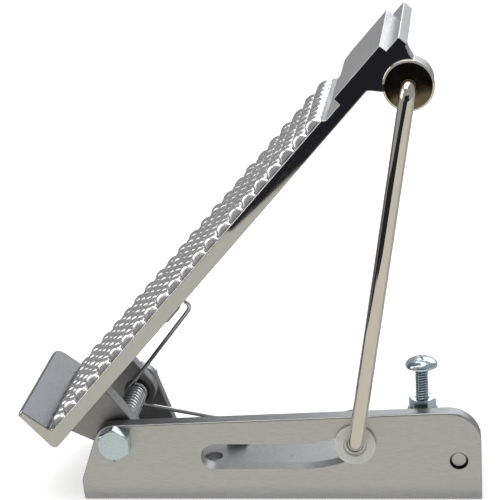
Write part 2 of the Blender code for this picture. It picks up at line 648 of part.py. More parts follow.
def make_link(axis, nickel, zinc, spring_steel):
    """Bent rod between the toe boss and the slider; its frame has +Z along the rod."""
    inner_end = -PEDAL_HALF_WIDTH + BOSS_THICKNESS + 4.4
    path = [(0, inner_end, 0), (0, ROD_Y + ROD_BEND_RADIUS + 2, 0)]
    for k in range(7):
        angle = math.pi / 2 * k / 6
        path.append((0, ROD_Y + ROD_BEND_RADIUS * (1 - math.sin(angle)),
                     -ROD_BEND_RADIUS * (1 - math.cos(angle))))
    path += [(0, ROD_Y, -ROD_LENGTH / 2)]
    for k in range(7):
        angle = math.pi / 2 * k / 6
        path.append((0, ROD_Y + ROD_BEND_RADIUS * (1 - math.cos(angle)),
                     -ROD_LENGTH + ROD_BEND_RADIUS * (1 - math.sin(angle))))
    path.append((0, BUSHING_FACE_Y - GAP, -ROD_LENGTH))
    swept("link_rod", path, ROD_RADIUS, 20, nickel, axis)
    face = -PEDAL_HALF_WIDTH - GAP
    profile = [(ROD_RADIUS + GAP, face), (DISC_RADIUS, face), (DISC_RADIUS, face - 0.9),
               (DISC_RADIUS - 1.0, face - DISC_THICKNESS), (ROD_RADIUS + GAP, face - DISC_THICKNESS)]
    turned("rod_shoulder_disc", profile, (0, 0, 0), nickel, axis)
    back = -PEDAL_HALF_WIDTH + BOSS_THICKNESS + GAP
    ring("rod_inner_washer", ROD_RADIUS + GAP, 8.2, back, back + 1.2, (0, 0, 0), zinc, axis)
    profile = [(ROD_RADIUS + GAP, back + 1.5), (6.8, back + 1.5), (6.8, back + 2.2),
               (5.2, back + 3.4), (ROD_RADIUS + GAP, back + 3.4)]
    turned("rod_push_nut", profile, (0, 0, 0), spring_steel, axis)


# ---------------------------------------------------------------- slider and clevis

def make_slider(axis, centre, nylon, nickel, zinc, spring_steel):
    """Nylon bushing in the slot, the pin through it and the pieces held on the pin."""
    face = BUSHING_FACE_Y
    seat = face + BUSHING_FLANGE
    bore = PIN_RADIUS + GAP
    recess = face + BUSHING_RECESS
    profile = [(bore, recess), (BUSHING_RECESS_RADIUS, recess), (BUSHING_RECESS_RADIUS, face),
               (BUSHING_FLANGE_RADIUS - 0.4, face), (BUSHING_FLANGE_RADIUS, face + 0.4),
               (BUSHING_FLANGE_RADIUS, seat), (SLEEVE_RADIUS, seat),
               (SLEEVE_RADIUS, NEAR_INNER + GAP), (bore, NEAR_INNER + GAP)]
    turned("slot_bushing", profile, centre, nylon, axis)
    groove = PIN_END_Y - 1.7
    core = PIN_RADIUS - 0.7
    profile = [(0, recess), (PIN_RADIUS, recess), (PIN_RADIUS, groove), (core, groove),
               (core, groove + 1.0), (PIN_RADIUS, groove + 1.0), (PIN_RADIUS, PIN_END_Y),
               (0, PIN_END_Y)]
    turned("slider_pin", profile, centre, nickel, axis)
    washer = NEAR_INNER + 2 * GAP
    plate = rod_solid("slot_washer", WASHER_RADIUS, washer, washer + 1.2,
                      (centre[0], 0, centre[2] + WASHER_RISE), zinc, axis)
    cut(plate, rod_solid("guide_washer_bore", bore, washer - 3, washer + 4, centre, parent=axis))
    ring("slider_spacer", bore, 5.6, washer + 1.2 + GAP, CLEVIS_EYE_Y - CLEVIS_EYE_HALF - GAP,
         centre, nickel, axis)
    prism("slider_clip", open_clip(core + GAP, PIN_RADIUS + CLIP_RIM, (centre[0], centre[2])),
          groove + 0.1, groove + 0.9, spring_steel, axis)


def make_clevis(axis, zinc):
    """Cranked end that the inner cable screws into: an eye beside the wall, a barrel further in."""
    near = CLEVIS_EYE_Y - CLEVIS_EYE_HALF
    far = CLEVIS_EYE_Y + CLEVIS_EYE_HALF
    crank = filleted([(4.6, near + 0.2, 0), (12.5, near + 0.2, 3.0), (14.0, CABLE_Y + 2.5, 1.0),
                      (9.5, CABLE_Y + 2.5, 1.0), (7.4, far, 0), (4.6, far - 0.2, 0)], 3)
    clevis = ring("cable_clevis", PIN_RADIUS + GAP, CLEVIS_EYE_RADIUS, near, far, (0, 0, 0),
                  zinc, axis)
    join(clevis, prism("guide_clevis_crank", crank, -3.0, 3.0, parent=axis, axis="Z"))
    join(clevis, rod_solid("guide_clevis_barrel", CLEVIS_BARREL_RADIUS, 10.0,
                           CLEVIS_REACH, (0, CABLE_Y, 0), parent=axis, axis="X"))
    cut(clevis, rod_solid("guide_clevis_thread", 1.7, CLEVIS_REACH - 9, CLEVIS_REACH + 3,
                          (0, CABLE_Y, 0), parent=axis, axis="X"))


def main():
    clear_scene()
    cast = finish("cast_aluminium", (0.62, 0.62, 0.60), 0.36, 1.0)
    zinc = finish("zinc_plate", (0.72, 0.77, 0.80), 0.25, 1.0)
    nickel = finish("bright_nickel", (0.78, 0.74, 0.66), 0.08, 1.0)
    steel = finish("spring_wire", (0.55, 0.56, 0.58), 0.22, 1.0)
    clip = finish("blued_clip_steel", (0.16, 0.16, 0.17), 0.35, 1.0)
    bronze = finish("sintered_bronze", (0.55, 0.38, 0.20), 0.45, 1.0)
    nylon = finish("natural_nylon", (0.78, 0.79, 0.76), 0.40, 0.0)

    make_base(cast)
    make_hinge(zinc, steel)
    make_coil(steel)
    make_stop(zinc)
    make_anchor(zinc, cast, clip)
    pedal_axis = axis_empty("pedal_axis", (0, 0, HINGE_HEIGHT), -PEDAL_ANGLE)
    make_pedal(pedal_axis, cast, bronze, steel)
    make_link(axis_empty("link_axis", (BOSS_X, 0, BOSS_Z), ROD_LEAN), nickel, zinc, clip)
    centre_x, centre_z = track_centre()
    track_axis = axis_empty("track_axis", (centre_x, 0, centre_z))
    make_slider(track_axis, (SLIDER_X - centre_x, 0, SLIDER_Z - centre_z), nylon, nickel,
                zinc, clip)
    make_clevis(axis_empty("clevis_axis", (SLIDER_X, 0, SLIDER_Z)), zinc)


main()
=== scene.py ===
"""Looks of the foot throttle pedal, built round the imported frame.

Lengths are millimetres until a mesh is made. Pieces of the pedal are modelled in the pedal's own
frame (u from heel to toe, y across, w off the foot face), pieces of the link along the rod, and
everything else in the world frame.
"""
import json
import math
import random

import bmesh
import bpy
from mathutils import Matrix, Vector


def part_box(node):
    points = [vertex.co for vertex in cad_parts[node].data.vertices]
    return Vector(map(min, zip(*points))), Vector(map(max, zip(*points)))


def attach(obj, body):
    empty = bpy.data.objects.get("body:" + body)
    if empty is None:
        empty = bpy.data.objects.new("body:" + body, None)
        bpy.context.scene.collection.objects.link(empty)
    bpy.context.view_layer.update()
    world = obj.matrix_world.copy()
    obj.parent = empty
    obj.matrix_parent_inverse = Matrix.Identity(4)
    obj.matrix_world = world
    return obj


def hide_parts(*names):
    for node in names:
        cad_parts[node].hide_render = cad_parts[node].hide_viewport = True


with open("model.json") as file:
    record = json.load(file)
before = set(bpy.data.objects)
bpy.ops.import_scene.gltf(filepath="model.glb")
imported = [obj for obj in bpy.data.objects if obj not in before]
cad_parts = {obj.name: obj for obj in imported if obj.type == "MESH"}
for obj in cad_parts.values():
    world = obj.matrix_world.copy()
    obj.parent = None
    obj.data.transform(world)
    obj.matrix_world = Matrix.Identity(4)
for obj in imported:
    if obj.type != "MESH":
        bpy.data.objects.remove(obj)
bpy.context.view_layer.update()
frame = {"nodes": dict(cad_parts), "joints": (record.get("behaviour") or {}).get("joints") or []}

MM = 0.001
GAP = 0.3


# ---------------------------------------------------------------- sizes read from the frame

def node_box(name):
    low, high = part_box(name)
    return Vector(low) / MM, Vector(high) / MM


def joint_place(child):
    """Where the joint that carries a body stands at rest, in millimetres."""
    for joint in frame["joints"]:
        if joint["child"] == child:
            return Vector(joint["pos_m"]) / MM
    raise ValueError(child)


HINGE = joint_place("pedal")
ROD_TOP = joint_place("link")
CLEVIS = joint_place("clevis")
BASE_LOW, BASE_HIGH = node_box("base_casting")
STOP_LOW, STOP_HIGH = node_box("stop_screw")
NUT_LOW, NUT_HIGH = node_box("stop_jam_nut")
BLOCK_LOW, BLOCK_HIGH = node_box("cable_anchor_block")
BUSHING_FACE = node_box("slot_bushing")[0].y

# Base
NEAR_FACE = BASE_LOW.y
FAR_FACE = BASE_HIGH.y
HEEL_X = -17.8
TOE_X = BASE_HIGH.x
FLOOR = 6.4
NEAR_WALL = 7.4
FAR_WALL = 6.4
NEAR_INNER = NEAR_FACE + NEAR_WALL
FAR_INNER = FAR_FACE - FAR_WALL
FLANGE_TOP = 38.7
FLANGE_RISE = 0.0365
WALL_KINK = (-18.3, 10.1)
EAR_LEAN = math.tan(math.radians(20.0))
FAR_EAR_LEAN = math.tan(math.radians(18.3))
FAR_EAR_TOP = 41.3
FAR_EAR_OFFSET = 9.6
MOUNT_HOLES = ((41.0, -3.0), (118.0, -18.0), (118.0, 18.0))
MOUNT_HOLE_RADIUS = 4.4
STOP_BOSS = 7.1

# Hinge screws: radii, except for the hexagon's width across flats
HINGE_HEX = 14.29
HINGE_HEAD = 6.0
HINGE_SHANK = 4.76
HINGE_HOLE = 5.06
WASHER_FACE = 6.6
ARBOR_HOLE = 3.4
ARBOR_DEPTH = 6.0

# Pedal, in its own frame
PEDAL_ANGLE = math.radians(47.84)
PEDAL_HALF = 40.0
UNDERSIDE = 19.4
RAIL_TOP = 26.2
SLAB_TOP = 24.7
HEEL_U = -22.3
TOE_U = 236.3
WALL_TOP = 44.5
TREAD_U = (-15.0, 186.5)
TREAD_ROWS = 22
TREAD_COLUMNS = 9
TREAD_HEIGHT = 4.2
TREAD_SIDE_MARGIN = 1.8
PLATE_U = (197.0, 228.0)
PLATE_TOP = 28.4
PLATE_CORNER = 7.0
LUG_RADIUS = 9.4
LUG_ROOT = (-16.0, 13.5)
NEAR_LUG = (-28.2, -18.9)
FAR_LUG = (22.2, 29.2)
BUSH_BORE = 6.6
BOSS = (223.0, 7.4)
BOSS_RADIUS = 11.0
BOSS_END_Y = -27.5
ROD_BUSH_BORE = 5.6

# Slot, and the cable anchor's place in x and z
SLOT_HALF = 6.5
SLOT_HEEL_X = 47.1
SLOT_BEND_X = 88.0
SLOT_Z = 22.4
SLOT_BEND_RADIUS = 54.7
ANCHOR = (162.5, 20.0)
ANCHOR_HOLE = 4.35

# Stop screw
STOP = ((STOP_LOW.x + STOP_HIGH.x) / 2, (STOP_LOW.y + STOP_HIGH.y) / 2)
STOP_SEAT = STOP_HIGH.z - 4.3
STOP_RADIUS = 3.175
STOP_PITCH = 1.27
STOP_LENGTH = 38.1
THREAD_DEPTH = 0.62
NUT_FLATS = 11.11
HEAD_RADIUS = (STOP_HIGH.x - STOP_LOW.x) / 2
BOSS_TOP = NUT_LOW.z - GAP

# Return spring and link rod
WIRE = 1.05
COIL_RADIUS = 4.5
COIL_PITCH = 3.2
COIL_Y = (-16.6, 17.3)
UPPER_LEG_Y = 20.1
LEG_DROP = math.radians(11.4)
LOWER_LEG = 57.0
UPPER_LEG = 53.0
ROD_RADIUS = 3.6
ROD_Y = -46.0
ROD_BEND = 5.0
ROD_FOOT = (CLEVIS.x + 0.6, CLEVIS.z + 2.4)
ROD_LENGTH = math.hypot(ROD_TOP.x - ROD_FOOT[0], ROD_TOP.z - ROD_FOOT[1])
ROD_LEAN = math.atan2(ROD_TOP.x - ROD_FOOT[0], ROD_TOP.z - ROD_FOOT[1])

WORLD_PLACE = Matrix.Identity(4)
PEDAL_PLACE = Matrix.Translation(HINGE * MM) @ Matrix.Rotation(-PEDAL_ANGLE, 4, "Y")
LINK_PLACE = (Matrix.Translation(Vector((ROD_TOP.x, 0, ROD_TOP.z)) * MM)
              @ Matrix.Rotation(ROD_LEAN, 4, "Y"))

# Camera: its place in metres, its lens in millimetres
CAMERA_PLACE = (0.1704, -0.7816, 0.3809)
CAMERA_LENS = 125.64
CAMERA_AZIMUTH = math.radians(7.67)
CAMERA_ELEVATION = math.radians(18.74)
CAMERA_ROLL = math.radians(-3.47)


# ---------------------------------------------------------------- mesh helpers

def add_object(name, data):
    made = bpy.data.objects.new(name, data)
    bpy.context.scene.collection.objects.link(made)
    return made


def new_piece(name, points, faces, place=WORLD_PLACE, looks=()):
    """A closed mesh object from points in millimetres, standing in the given place."""
    mesh = bpy.data.meshes.new(name)
    mesh.from_pydata([Vector(point) * MM for point in points], [], faces)
    work = bmesh.new()
    work.from_mesh(mesh)
    bmesh.ops.recalc_face_normals(work, faces=work.faces)
    work.to_mesh(mesh)
    work.free()
    piece = add_object(name, mesh)
    piece.matrix_world = place
    for look in looks:
        mesh.materials.append(look)
    smooth(mesh)
    return piece


def tube_faces(rings, sides):
    """Faces of a tube whose points run ring by ring, with a face over each end."""
    last = (rings - 1) * sides
    faces = [list(range(sides))[::-1], list(range(last, last + sides))]
    for ring in range(rings - 1):
        for i in range(sides):
            j = (i + 1) % sides
            faces.append([ring * sides + i, ring * sides + j, (ring + 1) * sides + j,
                          (ring + 1) * sides + i])
    return faces


def smooth(mesh, angle=30):
    mesh.shade_smooth()
    mesh.set_sharp_from_angle(angle=math.radians(angle))


def quarter_turn(steps):
    """Evenly spaced angles from 0 to a right angle."""
    return [math.pi / 2 * k / steps for k in range(steps + 1)]


def offset_outline(outline, distance):
    """Move every point of a counter-clockwise outline inward by its mitre."""
    count = len(outline)
    moved = []
    for i, here in enumerate(outline):
        here = Vector(here)
        before = (here - Vector(outline[i - 1])).normalized()
        after = (Vector(outline[(i + 1) % count]) - here).normalized()
        normal = Vector((-before.y - after.y, before.x + after.x)).normalized()
        spread = max(0.35, normal.dot(Vector((-after.y, after.x))))
        moved.append(tuple(here + normal * (distance / spread)))
    return moved


def signed_area(outline):
    return sum(a[0] * b[1] - b[0] * a[1]
               for a, b in zip(outline, outline[1:] + outline[:1])) / 2


def prism(name, outline, low, high, place=WORLD_PLACE, looks=(), axis="Y", rounding=0.0):
    """Extrude an outline along an axis; its two rims can be rounded over."""
    stand = {"Y": lambda a, b, t: (a, t, b), "X": lambda a, b, t: (t, a, b),
             "Z": lambda a, b, t: (a, b, t)}[axis]
    if signed_area(outline) < 0:
        outline = outline[::-1]
    levels = [(0.0, low), (0.0, high)]
    if rounding:
        turn = quarter_turn(4)
        levels = [(rounding * (1 - math.sin(a)), low + rounding * (1 - math.cos(a)))
                  for a in turn]
        levels += [(rounding * (1 - math.sin(a)), high - rounding * (1 - math.cos(a)))
                   for a in reversed(turn)]
    points = []
    for inset, along in levels:
        points += [stand(a, b, along) for a, b in offset_outline(outline, inset)]
    return new_piece(name, points, tube_faces(len(levels), len(outline)), place, looks)


def turned(name, profile, centre, place=WORLD_PLACE, looks=(), axis="Y", steps=64):
    """Turn a profile of (radius, distance along the axis); radius 0 closes an end."""
    stand = {"Y": lambda r, t, a: (r * math.cos(a), t, r * math.sin(a)),
             "X": lambda r, t, a: (t, r * math.cos(a), r * math.sin(a)),
             "Z": lambda r, t, a: (r * math.cos(a), r * math.sin(a), t)}[axis]
    points = []
    rings = []
    for radius, along in profile:
        if radius == 0:
            rings.append([len(points)] * steps)
            points.append(Vector(stand(0, along, 0)) + Vector(centre))
            continue
        rings.append(list(range(len(points), len(points) + steps)))
        for step in range(steps):
            points.append(Vector(stand(radius, along, math.tau * step / steps)) + Vector(centre))
    closed = profile[0][0] != 0
    faces = []
    for first, second in zip(rings, rings[1:] + rings[:1] if closed else rings[1:]):
        for step in range(steps):
            after = (step + 1) % steps
            corners = [first[step], first[after], second[after], second[step]]
            faces.append(list(dict.fromkeys(corners)))
    return new_piece(name, points, faces, place, looks)


def eased(profile, radius=0.3, steps=3):
    """Round every corner of a turned profile."""
    corners = [(a, b, 0.0 if a == 0 else radius) for a, b in profile]
    return filleted(corners, steps, closed=profile[0][0] != 0)


def bar(name, radius, low, high, centre, place=WORLD_PLACE, looks=(), axis="Y", ease=0.4):
    profile = eased([(0, low), (radius, low), (radius, high), (0, high)], ease)
    return turned(name, profile, centre, place, looks, axis)


def cutter(radius, low, high, centre, place=WORLD_PLACE, axis="Y", steps=64):
    return turned("cutter", [(0, low), (radius, low), (radius, high), (0, high)], centre, place,
                  axis=axis, steps=steps)


def collar(name, inner, outer, low, high, centre, place=WORLD_PLACE, looks=()):
    profile = eased([(inner, low), (outer, low), (outer, high), (inner, high)], 0.25)
    return turned(name, profile, centre, place, looks)


def swept(name, path, radius, sides, place=WORLD_PLACE, looks=(), ease=0.3):
    """A round bar along a path, with slightly rounded ends."""
    path = [Vector(point) for point in path]
    first = (path[1] - path[0]).normalized()
    last = (path[-1] - path[-2]).normalized()
    path = [path[0], path[0] + first * ease] + path[1:-1] + [path[-1] - last * ease, path[-1]]
    radii = [radius - ease] + [radius] * (len(path) - 2) + [radius - ease]
    ends_twice = [path[0], *path, path[-1]]
    tangents = [(after - before).normalized()
                for before, after in zip(ends_twice, ends_twice[2:])]
    side = tangents[0].orthogonal().normalized()
    points = []
    for point, tangent, size in zip(path, tangents, radii):
        side = (side - tangent * side.dot(tangent)).normalized()
        other = tangent.cross(side)
        for k in range(sides):
            angle = math.tau * k / sides
            points.append(point + (side * math.cos(angle) + other * math.sin(angle)) * size)
    return new_piece(name, points, tube_faces(len(path), sides), place, looks)


def filleted(corners, steps=8, closed=True):
    """Outline from (a, b, radius) corners, each rounded by its own radius."""
    outline = []
    count = len(corners)
    for i, (a, b, radius) in enumerate(corners):
        here = Vector((a, b))
        if radius == 0 or (not closed and i in (0, count - 1)):
            outline.append((a, b))
            continue
        before = Vector(corners[i - 1][:2]) - here
        after = Vector(corners[(i + 1) % count][:2]) - here
        half = before.angle(after) / 2
        if half > math.radians(88):
            outline.append((a, b))
            continue
        reach = min(radius / math.tan(half), before.length * 0.49, after.length * 0.49)
        before.normalize()
        after.normalize()
        centre = here + (before + after).normalized() * (reach / math.cos(half))
        start = here + before * reach - centre
        end = here + after * reach - centre
        turn = math.copysign(math.pi - 2 * half, start.x * end.y - start.y * end.x)
        for k in range(steps + 1):
            c, s = math.cos(turn * k / steps), math.sin(turn * k / steps)
            outline.append((centre.x + start.x * c - start.y * s,
                            centre.y + start.x * s + start.y * c))
    return outline


def combine(target, tools, operation):
    """Apply exact Booleans to a piece and drop the tools."""
    for tool in tools:
        step = target.modifiers.new("step", "BOOLEAN")
        step.operation = operation
        step.solver = "EXACT"
        step.object = tool
    bpy.context.view_layer.update()
    done = target.evaluated_get(bpy.context.evaluated_depsgraph_get())
    mesh = bpy.data.meshes.new_from_object(done)
    target.modifiers.clear()
    target.data = mesh
    for tool in tools:
        bpy.data.objects.remove(tool, do_unlink=True)
    smooth(mesh)
    return target


def join(target, *tools):
    return combine(target, tools, "UNION")


def cut(target, *tools):
    return combine(target, tools, "DIFFERENCE")


def keep(target, *tools):
    return combine(target, tools, "INTERSECT")


def soften(piece, width, angle=40):
    """Round the hard edges of a finished casting."""
    work = bmesh.new()
    work.from_mesh(piece.data)
    bmesh.ops.remove_doubles(work, verts=work.verts, dist=0.00001)
    bmesh.ops.dissolve_limit(work, angle_limit=math.radians(0.5), verts=work.verts,
                             edges=work.edges)
    work.to_mesh(piece.data)
    work.free()
    step = piece.modifiers.new("edges", "BEVEL")
    step.width = width * MM
    step.segments = 2
    step.limit_method = "ANGLE"
    step.angle_limit = math.radians(angle)
    step.use_clamp_overlap = True
    step.miter_outer = "MITER_ARC"
    combine(piece, (), "UNION")
    return even_normals(piece)


def even_normals(piece):
    """Keep broad faces flat in the shading beside their rounded rims."""
    step = piece.modifiers.new("normals", "WEIGHTED_NORMAL")
    step.mode = "FACE_AREA"
    step.weight = 100
    step.keep_sharp = True
    return piece


def paint(piece, looks, rule):
    """Give each face the look that rule(normal, centre in millimetres) picks."""
    piece.data.materials.clear()
    for look in looks:
        piece.data.materials.append(look)
    for face in piece.data.polygons:
        face.material_index = rule(face.normal, face.center / MM)


def hexagon(across_flats, centre, turn=0.0):
    radius = across_flats / math.sqrt(3)
    return [(centre[0] + radius * math.cos(turn + math.pi / 3 * k),
             centre[1] + radius * math.sin(turn + math.pi / 3 * k)) for k in range(6)]


def stand_for(piece, body, node):
    """Ride a piece on its body in place of a CAD node."""
    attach(piece, body)
    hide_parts(node)
    return piece


# ---------------------------------------------------------------- materials

class Nodes:
    """Short names for the shader nodes that the materials use."""

    def __init__(self, name):
        self.material = bpy.data.materials.new(name)
        self.material.use_nodes = True
        self.tree = self.material.node_tree
        self.shader = self.tree.nodes["Principled BSDF"]
        self.coordinates = self.add("ShaderNodeTexCoord").outputs["Object"]

    def add(self, kind, **settings):
        node = self.tree.nodes.new(kind)
        for key, value in settings.items():
            setattr(node, key, value)
        return node

    def link(self, source, target):
        self.tree.links.new(source, target)

    def mapped(self, scale=(1, 1, 1)):
        node = self.add("ShaderNodeMapping")
        node.inputs["Scale"].default_value = scale
        self.link(self.coordinates, node.inputs["Vector"])
        return node.outputs["Vector"]

    def noise(self, vector, scale, detail=4.0, roughness=0.55):
        node = self.add("ShaderNodeTexNoise")
        node.inputs["Scale"].default_value = scale
        node.inputs["Detail"].default_value = detail
        node.inputs["Roughness"].default_value = roughness
        self.link(vector, node.inputs["Vector"])
        return node.outputs["Fac"]

    def spread(self, value, low, high, out_low, out_high):
        node = self.add("ShaderNodeMapRange")
        for key, number in (("From Min", low), ("From Max", high), ("To Min", out_low),
                            ("To Max", out_high)):
            node.inputs[key].default_value = number
        self.link(value, node.inputs["Value"])
        return node.outputs["Result"]

    def ramp(self, value, stops):
        node = self.add("ShaderNodeValToRGB")
        elements = node.color_ramp.elements
        while len(elements) < len(stops):
            elements.new(0.5)
        for element, (place, colour) in zip(elements, stops):
            element.position = place
            element.color = (*colour, 1.0)
        self.link(value, node.inputs["Fac"])
        return node.outputs["Color"]

    def mix(self, factor, first, second):
        node = self.add("ShaderNodeMix", data_type="RGBA")
        if isinstance(factor, float):
            node.inputs[0].default_value = factor
        else:
            self.link(factor, node.inputs[0])
        for socket, value in ((node.inputs[6], first), (node.inputs[7], second)):
            if isinstance(value, tuple):
                socket.default_value = (*value, 1.0)
            else:
                self.link(value, socket)
        return node.outputs[2]

    def math(self, operation, first, second):
        node = self.add("ShaderNodeMath", operation=operation)
        for socket, value in zip(node.inputs, (first, second)):
            if isinstance(value, float):
                socket.default_value = value
            else:
                self.link(value, socket)
        return node.outputs["Value"]

    def bump(self, height, strength, distance, below=None):
        node = self.add("ShaderNodeBump")
        node.inputs["Strength"].default_value = strength
        node.inputs["Distance"].default_value = distance * MM
        self.link(height, node.inputs["Height"])
        if below is not None:
            self.link(below, node.inputs["Normal"])
        return node.outputs["Normal"]


def metal(name, light, dark, roughness, grain, stretch=(1, 1, 1), patches=28.0, bump=0.12,
          depth=0.05, pits=0.0, mottle=0.88):
    """Bare or plated metal: fine grain, slow patches, uneven polish and sparse pits."""
    made = Nodes(name)
    made.shader.inputs["Metallic"].default_value = 1.0
    fine = made.noise(made.mapped(stretch), grain, 5.0, 0.6)
    slow = made.noise(made.mapped(), patches, 3.0, 0.5)
    body = made.ramp(fine, [(0.30, dark), (0.72, light)])
    tone = made.ramp(slow, [(0.30, tuple(mottle * c for c in light)), (0.70, light)])
    colour = made.mix(0.45, body, tone)
    low, high = roughness
    polish = made.math("ADD", made.spread(fine, 0.3, 0.7, low, high),
                       made.spread(slow, 0.3, 0.7, -0.2 * low, 0.2 * low))
    made.link(polish, made.shader.inputs["Roughness"])
    normal = made.bump(fine, bump, depth)
    if pits:
        holes = made.spread(made.noise(made.mapped(), 420.0, 2.0), 0.62, 0.75, 1.0, 0.0)
        normal = made.bump(holes, pits, 0.12, normal)
        colour = made.mix(made.spread(holes, 0.0, 1.0, 0.55, 0.0), colour, dark)
    made.link(colour, made.shader.inputs["Base Color"])
    made.link(normal, made.shader.inputs["Normal"])
    return made.material


def nylon(name):
    made = Nodes(name)
    made.shader.inputs["Subsurface Weight"].default_value = 0.35
    made.shader.inputs["Subsurface Radius"].default_value = (0.0030, 0.0030, 0.0024)
    made.shader.inputs["Subsurface Scale"].default_value = 1.0
    made.shader.inputs["Coat Weight"].default_value = 0.15
    cloud = made.noise(made.mapped(), 160.0, 4.0)
    fine = made.noise(made.mapped(), 1800.0, 3.0)
    made.link(made.ramp(cloud, [(0.30, (0.50, 0.51, 0.48)), (0.70, (0.64, 0.65, 0.61))]),
              made.shader.inputs["Base Color"])
    made.link(made.spread(fine, 0.3, 0.7, 0.28, 0.42), made.shader.inputs["Roughness"])
    made.link(made.bump(fine, 0.10, 0.03), made.shader.inputs["Normal"])
    return made.material


def studio_floor(name):
    made = Nodes(name)
    cloud = made.noise(made.mapped(), 3.0, 3.0)
    made.link(made.ramp(cloud, [(0.3, (0.90, 0.90, 0.89)), (0.7, (0.93, 0.93, 0.93))]),
              made.shader.inputs["Base Color"])
    made.shader.inputs["Roughness"].default_value = 0.75
    made.shader.inputs["Specular IOR Level"].default_value = 0.1
    made.shader.inputs["Emission Color"].default_value = (1.0, 1.0, 1.0, 1.0)
    made.shader.inputs["Emission Strength"].default_value = 0.48
    return made.material


def card(name, colour):
    """A card that reflections see: no shine of its own, an even glow."""
    made = Nodes(name)
    made.shader.inputs["Base Color"].default_value = (0.0, 0.0, 0.0, 1.0)
    made.shader.inputs["Roughness"].default_value = 1.0
    made.shader.inputs["Specular IOR Level"].default_value = 0.0
    made.shader.inputs["Emission Color"].default_value = (*colour, 1.0)
    made.shader.inputs["Emission Strength"].default_value = 1.0
    return made.material


# A small scale along one axis draws the grain out that way
STREAKS_X = (0.09, 1.0, 1.0)
STREAKS_Y = (1.0, 0.05, 1.0)
STREAKS_Z = (1.0, 1.0, 0.05)

SANDED = metal("sanded_cast_aluminium", (0.74, 0.745, 0.73), (0.47, 0.475, 0.47), (0.28, 0.42),
               2600.0, STREAKS_X, patches=22.0, bump=0.30, depth=0.05, mottle=0.76)
AS_CAST = metal("as_cast_aluminium", (0.44, 0.44, 0.445), (0.25, 0.25, 0.26), (0.34, 0.48),
                520.0, patches=30.0, bump=0.45, depth=0.12, pits=0.25)
GROUND = metal("ground_pedal_side", (0.70, 0.69, 0.665), (0.60, 0.59, 0.575), (0.020, 0.050),
               700.0, STREAKS_X, patches=26.0, bump=0.03, depth=0.02)
TREAD = metal("tread_aluminium", (0.80, 0.80, 0.80), (0.52, 0.52, 0.53), (0.16, 0.28),
              650.0, patches=60.0, bump=0.25, depth=0.06, pits=0.10)
# Near-black metal for the heel wall's inner face: painted shade where that face lies in shadow
HEEL_WALL_PAINTED_SHADE = metal("heel_wall_painted_shade", (0.16, 0.16, 0.175), (0.075, 0.075, 0.085), (0.16, 0.30),
             300.0, patches=55.0, bump=0.10, depth=0.10, pits=0.10)
PLATE = metal("scratched_toe_plate", (0.66, 0.66, 0.67), (0.48, 0.48, 0.49), (0.26, 0.38),
              1100.0, STREAKS_Y, patches=45.0, bump=0.22, depth=0.05, pits=0.15)
ZINC = metal("bright_zinc_plate", (0.77, 0.89, 0.95), (0.56, 0.70, 0.78), (0.14, 0.26),
             900.0, patches=120.0, bump=0.16, depth=0.04, pits=0.20)
# Darker zinc for the thread grooves: painted shade in the recesses
ZINC_PAINTED_GROOVE_SHADE = metal("zinc_thread_groove_painted_shade", (0.20, 0.26, 0.30), (0.12, 0.16, 0.19), (0.25, 0.40),
                      900.0, patches=120.0, bump=0.10, depth=0.03)
CHROME = metal("bright_nickel_plate", (0.86, 0.82, 0.74), (0.80, 0.75, 0.66), (0.03, 0.07),
               500.0, STREAKS_Z, patches=40.0, bump=0.02, depth=0.02)
# Nickel painted dark brown for the disc's face: a painted dark reflection
NICKEL_DISC_PAINTED_DARK = metal("nickel_disc_painted_dark_reflection", (0.25, 0.195, 0.12), (0.10, 0.072, 0.04), (0.04, 0.10),
             300.0, patches=90.0, bump=0.05, depth=0.04)
WIRE_STEEL = metal("drawn_spring_wire", (0.88, 0.89, 0.90), (0.66, 0.67, 0.69), (0.10, 0.20),
                   1200.0, patches=60.0, bump=0.10, depth=0.03)
BLUED = metal("blued_spring_steel", (0.16, 0.17, 0.20), (0.09, 0.09, 0.11), (0.22, 0.36),
              800.0, patches=90.0, bump=0.12, depth=0.03)
BRONZE = metal("oiled_sintered_bronze", (0.17, 0.15, 0.13), (0.09, 0.08, 0.07), (0.40, 0.55),
               1400.0, patches=90.0, bump=0.35, depth=0.05)
NYLON = nylon("natural_nylon")


# ---------------------------------------------------------------- base

def wall_x(height):
    """Where the leaning heel edge of a base wall is at a height."""
    return WALL_KINK[0] + (height - WALL_KINK[1]) * EAR_LEAN


def near_top(x):
    """Height of the near flange, which rises a little toward the toe."""
    return FLANGE_TOP + FLANGE_RISE * x


def near_flange_outline():
    heel_top = near_top(wall_x(FLANGE_TOP))
    return filleted([(HEEL_X, 0.0, 1.2), (*WALL_KINK, 6.0), (wall_x(heel_top), heel_top, 10.0),
                     (TOE_X, near_top(TOE_X), 15.0), (TOE_X, 0.0, 1.2)], 14)


def far_ear_outline():
    def toe_side(height):
        return FAR_EAR_OFFSET - (height - HINGE.z) * FAR_EAR_LEAN
    return filleted([(HEEL_X, 0.0, 1.2), (*WALL_KINK, 6.0),
                     (wall_x(FAR_EAR_TOP), FAR_EAR_TOP, 9.0),
                     (toe_side(FAR_EAR_TOP), FAR_EAR_TOP, 9.0), (toe_side(0.0), 0.0, 0.0)], 14)


